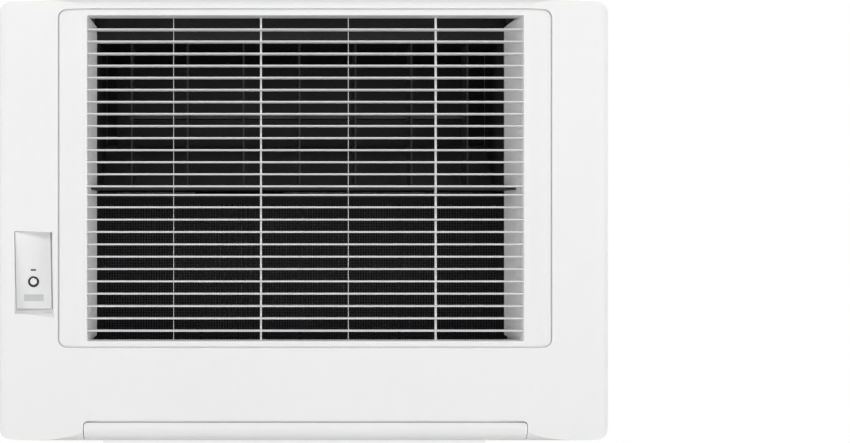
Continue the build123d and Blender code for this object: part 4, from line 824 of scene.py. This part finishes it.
class PressHoods(bpy.types.Operator):
    """Presses a hood over each louvre slot of the cabinet"""

    bl_idname = "air_unit.press_hoods"
    bl_label = "Press the louvre hoods"

    def execute(self, context):
        sizes = context.scene.air_unit_pieces
        low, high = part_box("cabinet")
        mesh = bmesh.new()
        middle = high.y - sizes.louvre_from_rear
        spread = (sizes.louvre_columns - 1) / 2.0
        along = Vector((0.0, 1.0, 0.0))
        for column in range(sizes.louvre_columns):
            y = middle + (column - spread) * sizes.louvre_pitch
            for row in (-sizes.louvre_row_half, sizes.louvre_row_half):
                for face, outward in ((low.x, -1.0), (high.x, 1.0)):
                    centre = Vector((face, y, sizes.louvre_height + row))
                    self.hood(mesh, sizes, centre, Vector((outward, 0.0, 0.0)), along)
                self.hood(mesh, sizes, Vector((row, y, high.z)), Vector((0.0, 0.0, 1.0)), along)
        finish_piece(mesh, "louvre_hoods", "cabinet_paint", "chassis", [], hood_angle)
        return {"FINISHED"}

    def hood(self, mesh, sizes, centre, outward, along):
        """One scoop, open towards the rear and closed towards the front."""
        across = outward.cross(along)
        mouth = sizes.louvre_width / 2.0 + sizes.hood_sheet
        grids = []
        for layer in (sizes.hood_sheet, 0.0):
            grid = []
            for i in range(hood_length_steps + 1):
                u = 2.0 * i / hood_length_steps - 1.0
                line = []
                for j in range(hood_depth_steps + 1):
                    v = j / hood_depth_steps
                    arch = (1.0 - u ** 4) * (1.0 - v ** 2)
                    rise = (sizes.hood_rise - sizes.hood_sheet) * arch + layer
                    place = centre + across * (u * sizes.hood_length / 2.0)
                    place = place + along * (mouth - v * sizes.hood_depth) + outward * rise
                    line.append(mesh.verts.new(place))
                grid.append(line)
            grids.append(grid)
        outer, inner = grids
        add_grid(mesh, outer)
        add_grid(mesh, inner)
        rim = [(i, 0) for i in range(hood_length_steps)]
        rim += [(hood_length_steps, j) for j in range(hood_depth_steps)]
        rim += [(i, hood_depth_steps) for i in range(hood_length_steps, 0, -1)]
        rim += [(0, j) for j in range(hood_depth_steps, 0, -1)]
        for (i, j), (k, m) in zip(rim, rim[1:] + rim[:1]):
            mesh.faces.new((outer[i][j], inner[i][j], inner[k][m], outer[k][m]))


class DriveScrews(bpy.types.Operator):
    """Turns the cabinet's pan-head screws and cuts their cross recesses"""

    bl_idname = "air_unit.drive_screws"
    bl_label = "Drive the cabinet screws"

    def execute(self, context):
        sizes = context.scene.air_unit_pieces
        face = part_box("cabinet")[1].x
        mesh = bmesh.new()
        cutters = bmesh.new()
        for points in separate_points(frame["nodes"]["cabinet_screws"].data):
            self.screw(mesh, cutters, sizes, points, face)
        mesh = self.cut(mesh, cutters)
        finish_piece(mesh, "cross_head_screws", "zinc_steel", "chassis", ["cabinet_screws"], round_angle)
        return {"FINISHED"}

    def screw(self, mesh, cutters, sizes, points, face):
        """One screw, turned from its profile, and the cutter for its recess."""
        low, high = corners_of(points)
        outward = 1.0 if low.x + high.x > 0.0 else -1.0
        centre_y = (low.y + high.y) / 2.0
        centre_z = (low.z + high.z) / 2.0
        radius = (high.z - low.z) / 2.0
        seat = outward * face
        top, tip = (high.x, low.x) if outward > 0.0 else (low.x, high.x)
        profile = [(tip, radius * stem_share), (seat, radius * stem_share)]
        profile += [(seat + (top - seat) * up, radius * share) for up, share in head_profile]
        rings = []
        for x, size in profile:
            rings.append([(x, centre_y + a, centre_z + b) for a, b in circle(size, screw_sides)])
        add_rings(mesh, rings)
        half = sizes.recess_width / 2.0
        reach = sizes.recess_reach
        outline = [
            (-half, -reach), (half, -reach), (half, -half), (reach, -half), (reach, half), (half, half),
            (half, reach), (-half, reach), (-half, half), (-reach, half), (-reach, -half), (-half, -half)]
        ends = (top - sizes.recess_depth, top + sizes.recess_depth)
        add_rings(cutters, [[(x, centre_y + a, centre_z + b) for a, b in outline] for x in ends])

    def cut(self, mesh, cutters):
        """The heads with the recesses taken out of them."""
        pair = []
        for name, source in (("heads", mesh), ("recesses", cutters)):
            bmesh.ops.recalc_face_normals(source, faces=source.faces)
            pair.append(link_object(source, name))
        heads, recesses = pair
        modifier = heads.modifiers.new("recess", "BOOLEAN")
        modifier.operation = "DIFFERENCE"
        modifier.solver = "EXACT"
        modifier.object = recesses
        graph = bpy.context.evaluated_depsgraph_get()
        result = bpy.data.meshes.new_from_object(heads.evaluated_get(graph))
        finished = bmesh.new()
        finished.from_mesh(result)
        for piece in pair:
            data = piece.data
            bpy.data.objects.remove(piece)
            bpy.data.meshes.remove(data)
        bpy.data.meshes.remove(result)
        return finished


class MouldButton(bpy.types.Operator):
    """Moulds the push button with a dished face and a rounded edge"""

    bl_idname = "air_unit.mould_button"
    bl_label = "Mould the button"

    def execute(self, context):
        sizes = context.scene.air_unit_pieces
        press = [joint for joint in frame["joints"] if joint["child"] == "button"][0]
        inward = Vector(press["axis"]).normalized()
        side = Vector((1.0, 0.0, 0.0))
        upward = inward.cross(side) * -1.0
        points = [vert.co for vert in frame["nodes"]["power_button"].data.vertices]
        low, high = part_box("power_button")
        centre = (low + high) / 2.0
        depths = [(point - centre).dot(inward) for point in points]
        front = min(depths)
        widths = {}
        for point, depth in zip(points, depths):
            key = round(depth, depth_digits)
            widths[key] = max(widths.get(key, 0.0), (point - centre).dot(side))
        edge = sizes.button_edge
        collar = max(widths.values())
        face = max(width for depth, width in widths.items() if depth < front + edge)
        shelf = min(depth for depth, width in widths.items() if width > face + edge)
        profile = [(max(depths), collar), (shelf, collar), (shelf, face)]
        profile += [(front + edge * deep, face - edge * inset) for deep, inset in edge_profile]
        for share in dish_rings:
            profile.append((front + sizes.button_dish * (1.0 - share * share), (face - edge) * share))
        rings = []
        for depth, radius in profile:
            ring = circle(radius, button_sides)
            rings.append([centre + inward * depth + side * a + upward * b for a, b in ring])
        mesh = bmesh.new()
        add_rings(mesh, rings)
        finish_piece(mesh, "dished_button", "button_plastic", "button", ["power_button"], button_angle)
        return {"FINISHED"}


class SetStage(bpy.types.Operator):
    """Sets up the floor, the plinth, the lamps and the camera"""

    bl_idname = "air_unit.set_stage"
    bl_label = "Set the stage"

    def execute(self, context):
        scene = context.scene
        values = scene.air_unit_stage
        self.room(scene, values)
        self.floor(values)
        self.plinth(values)
        self.lamps(scene, values)
        self.camera(scene, values)
        scene.view_settings.view_transform = "Standard"
        return {"FINISHED"}

    def room(self, scene, values):
        """Even light from all round, in a room that is seen as white."""
        scene.world = bpy.data.worlds.new("room")
        scene.world.use_nodes = True
        tree = scene.world.node_tree
        light = tree.nodes["Background"]
        light.inputs["Color"].default_value = white
        light.inputs["Strength"].default_value = values.world_level
        seen = add_node(tree, "ShaderNodeBackground", Color=white, Strength=1.0)
        mix_shaders(
            tree, seen_rays(tree), light.outputs["Background"], seen.outputs["Background"], "World Output")

    def floor(self, values):
        """A pale floor below the unit."""
        mesh = bmesh.new()
        step = 2.0 * values.floor_half / floor_steps
        lines = [-values.floor_half + step * index for index in range(floor_steps + 1)]
        grid = [[mesh.verts.new((x, y, -values.floor_drop)) for y in lines] for x in lines]
        add_grid(mesh, grid)
        material = grained(
            "pale_floor", values.floor_colour, rough=(0.6, 0.7), tone=(0.99, 1.0), cloud=3.0, grain=300.0,
            bump=(0.05, 0.0002))
        self.stage_piece(mesh, "floor", material, values)

    def plinth(self, values):
        """A pale plinth that leaves room for the filter to slide out."""
        low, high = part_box("cabinet")
        inset = values.plinth_inset
        mesh = bmesh.new()
        add_block(
            mesh, (low.x + inset, low.y + inset, -values.floor_drop), (high.x - inset, high.y - inset, 0.0))
        bmesh.ops.recalc_face_normals(mesh, faces=mesh.faces)
        upright = [edge for edge in mesh.edges if abs(edge.verts[0].co.z - edge.verts[1].co.z) > tiny]
        bmesh.ops.bevel(
            mesh, geom=upright, offset=values.plinth_edge, segments=edge_segments, profile=0.5,
            affect="EDGES")
        material = grained(
            "pale_plinth", values.plinth_colour, rough=(0.55, 0.7), tone=(0.98, 1.0), cloud=5.0, grain=500.0,
            bump=(0.08, 0.0002))
        self.stage_piece(mesh, "plinth", material, values)

    def stage_piece(self, mesh, name, material, values):
        """Puts a piece of the stage in the scene, mixed with more white the farther it is from the unit."""
        tree = material.node_tree
        glow = add_node(tree, "ShaderNodeEmission", Strength=1.0, Color=white)
        reach = add_node(tree, "ShaderNodeVectorMath", operation="LENGTH")
        link_place(tree, reach.inputs[0])
        ends = {"From Min": values.shadow_near, "From Max": values.shadow_far, "To Min": values.shadow_glow}
        share = add_node(tree, "ShaderNodeMath", operation="MULTIPLY")
        tree.links.new(seen_rays(tree), share.inputs[0])
        tree.links.new(map_range(tree, reach.outputs["Value"], **ends), share.inputs[1])
        mix_shaders(
            tree, share.outputs["Value"], tree.nodes["Principled BSDF"].outputs["BSDF"],
            glow.outputs["Emission"], "Material Output")
        piece = link_object(mesh, name)
        piece.data.materials.append(material)

    def lamps(self, scene, values):
        """Soft lamps that all face the unit."""
        for name, place, wide, tall, power in lamp_rows:
            data = bpy.data.lights.new(name, "AREA")
            data.shape = "RECTANGLE"
            data.size = wide
            data.size_y = tall
            data.energy = getattr(values, power)
            lamp = bpy.data.objects.new(name, data)
            scene.collection.objects.link(lamp)
            lamp.location = place
            lamp.rotation_euler = (lamp_aim - Vector(place)).to_track_quat("-Z", "Y").to_euler()

    def camera(self, scene, values):
        """A level camera that looks straight at the front."""
        data = bpy.data.cameras.new("view")
        data.lens = values.lens
        data.shift_x = values.shift
        camera = bpy.data.objects.new("view", data)
        scene.collection.objects.link(camera)
        camera.location = values.camera_place
        camera.rotation_euler = level_view
        scene.camera = camera


class PiecesPanel(bpy.types.Panel):
    """Lists the operators and their settings in the sidebar"""

    bl_idname = "AIR_UNIT_PT_pieces"
    bl_label = "Window air conditioner"
    bl_space_type = "VIEW_3D"
    bl_region_type = "UI"
    bl_category = "Air Conditioner"

    def draw(self, context):
        scene = context.scene
        for operator in operators:
            self.layout.operator(operator.bl_idname)
        for values in (scene.air_unit_finish, scene.air_unit_pieces, scene.air_unit_stage):
            for name in type(values).__annotations__:
                self.layout.prop(values, name)


operators = (
    DressModel, MouldGrille, MouldWebs, WeaveNet, StackFins, BendTubes, PressHoods, DriveScrews, MouldButton,
    SetStage)
classes = (FinishSettings, PieceSettings, StageSettings) + operators + (PiecesPanel,)


def register():
    for kind in classes:
        bpy.utils.register_class(kind)
    bpy.types.Scene.air_unit_finish = PointerProperty(type=FinishSettings)
    bpy.types.Scene.air_unit_pieces = PointerProperty(type=PieceSettings)
    bpy.types.Scene.air_unit_stage = PointerProperty(type=StageSettings)


def unregister():
    del bpy.types.Scene.air_unit_stage
    del bpy.types.Scene.air_unit_pieces
    del bpy.types.Scene.air_unit_finish
    for kind in reversed(classes):
        bpy.utils.unregister_class(kind)


def main():
    register()
    bpy.ops.air_unit.dress_model()
    bpy.ops.air_unit.mould_grille()
    bpy.ops.air_unit.mould_webs()
    bpy.ops.air_unit.weave_net()
    bpy.ops.air_unit.stack_fins()
    bpy.ops.air_unit.bend_tubes()
    bpy.ops.air_unit.press_hoods()
    bpy.ops.air_unit.drive_screws()
    bpy.ops.air_unit.mould_button()
    bpy.ops.air_unit.set_stage()


if __name__ == "__main__":
    main()
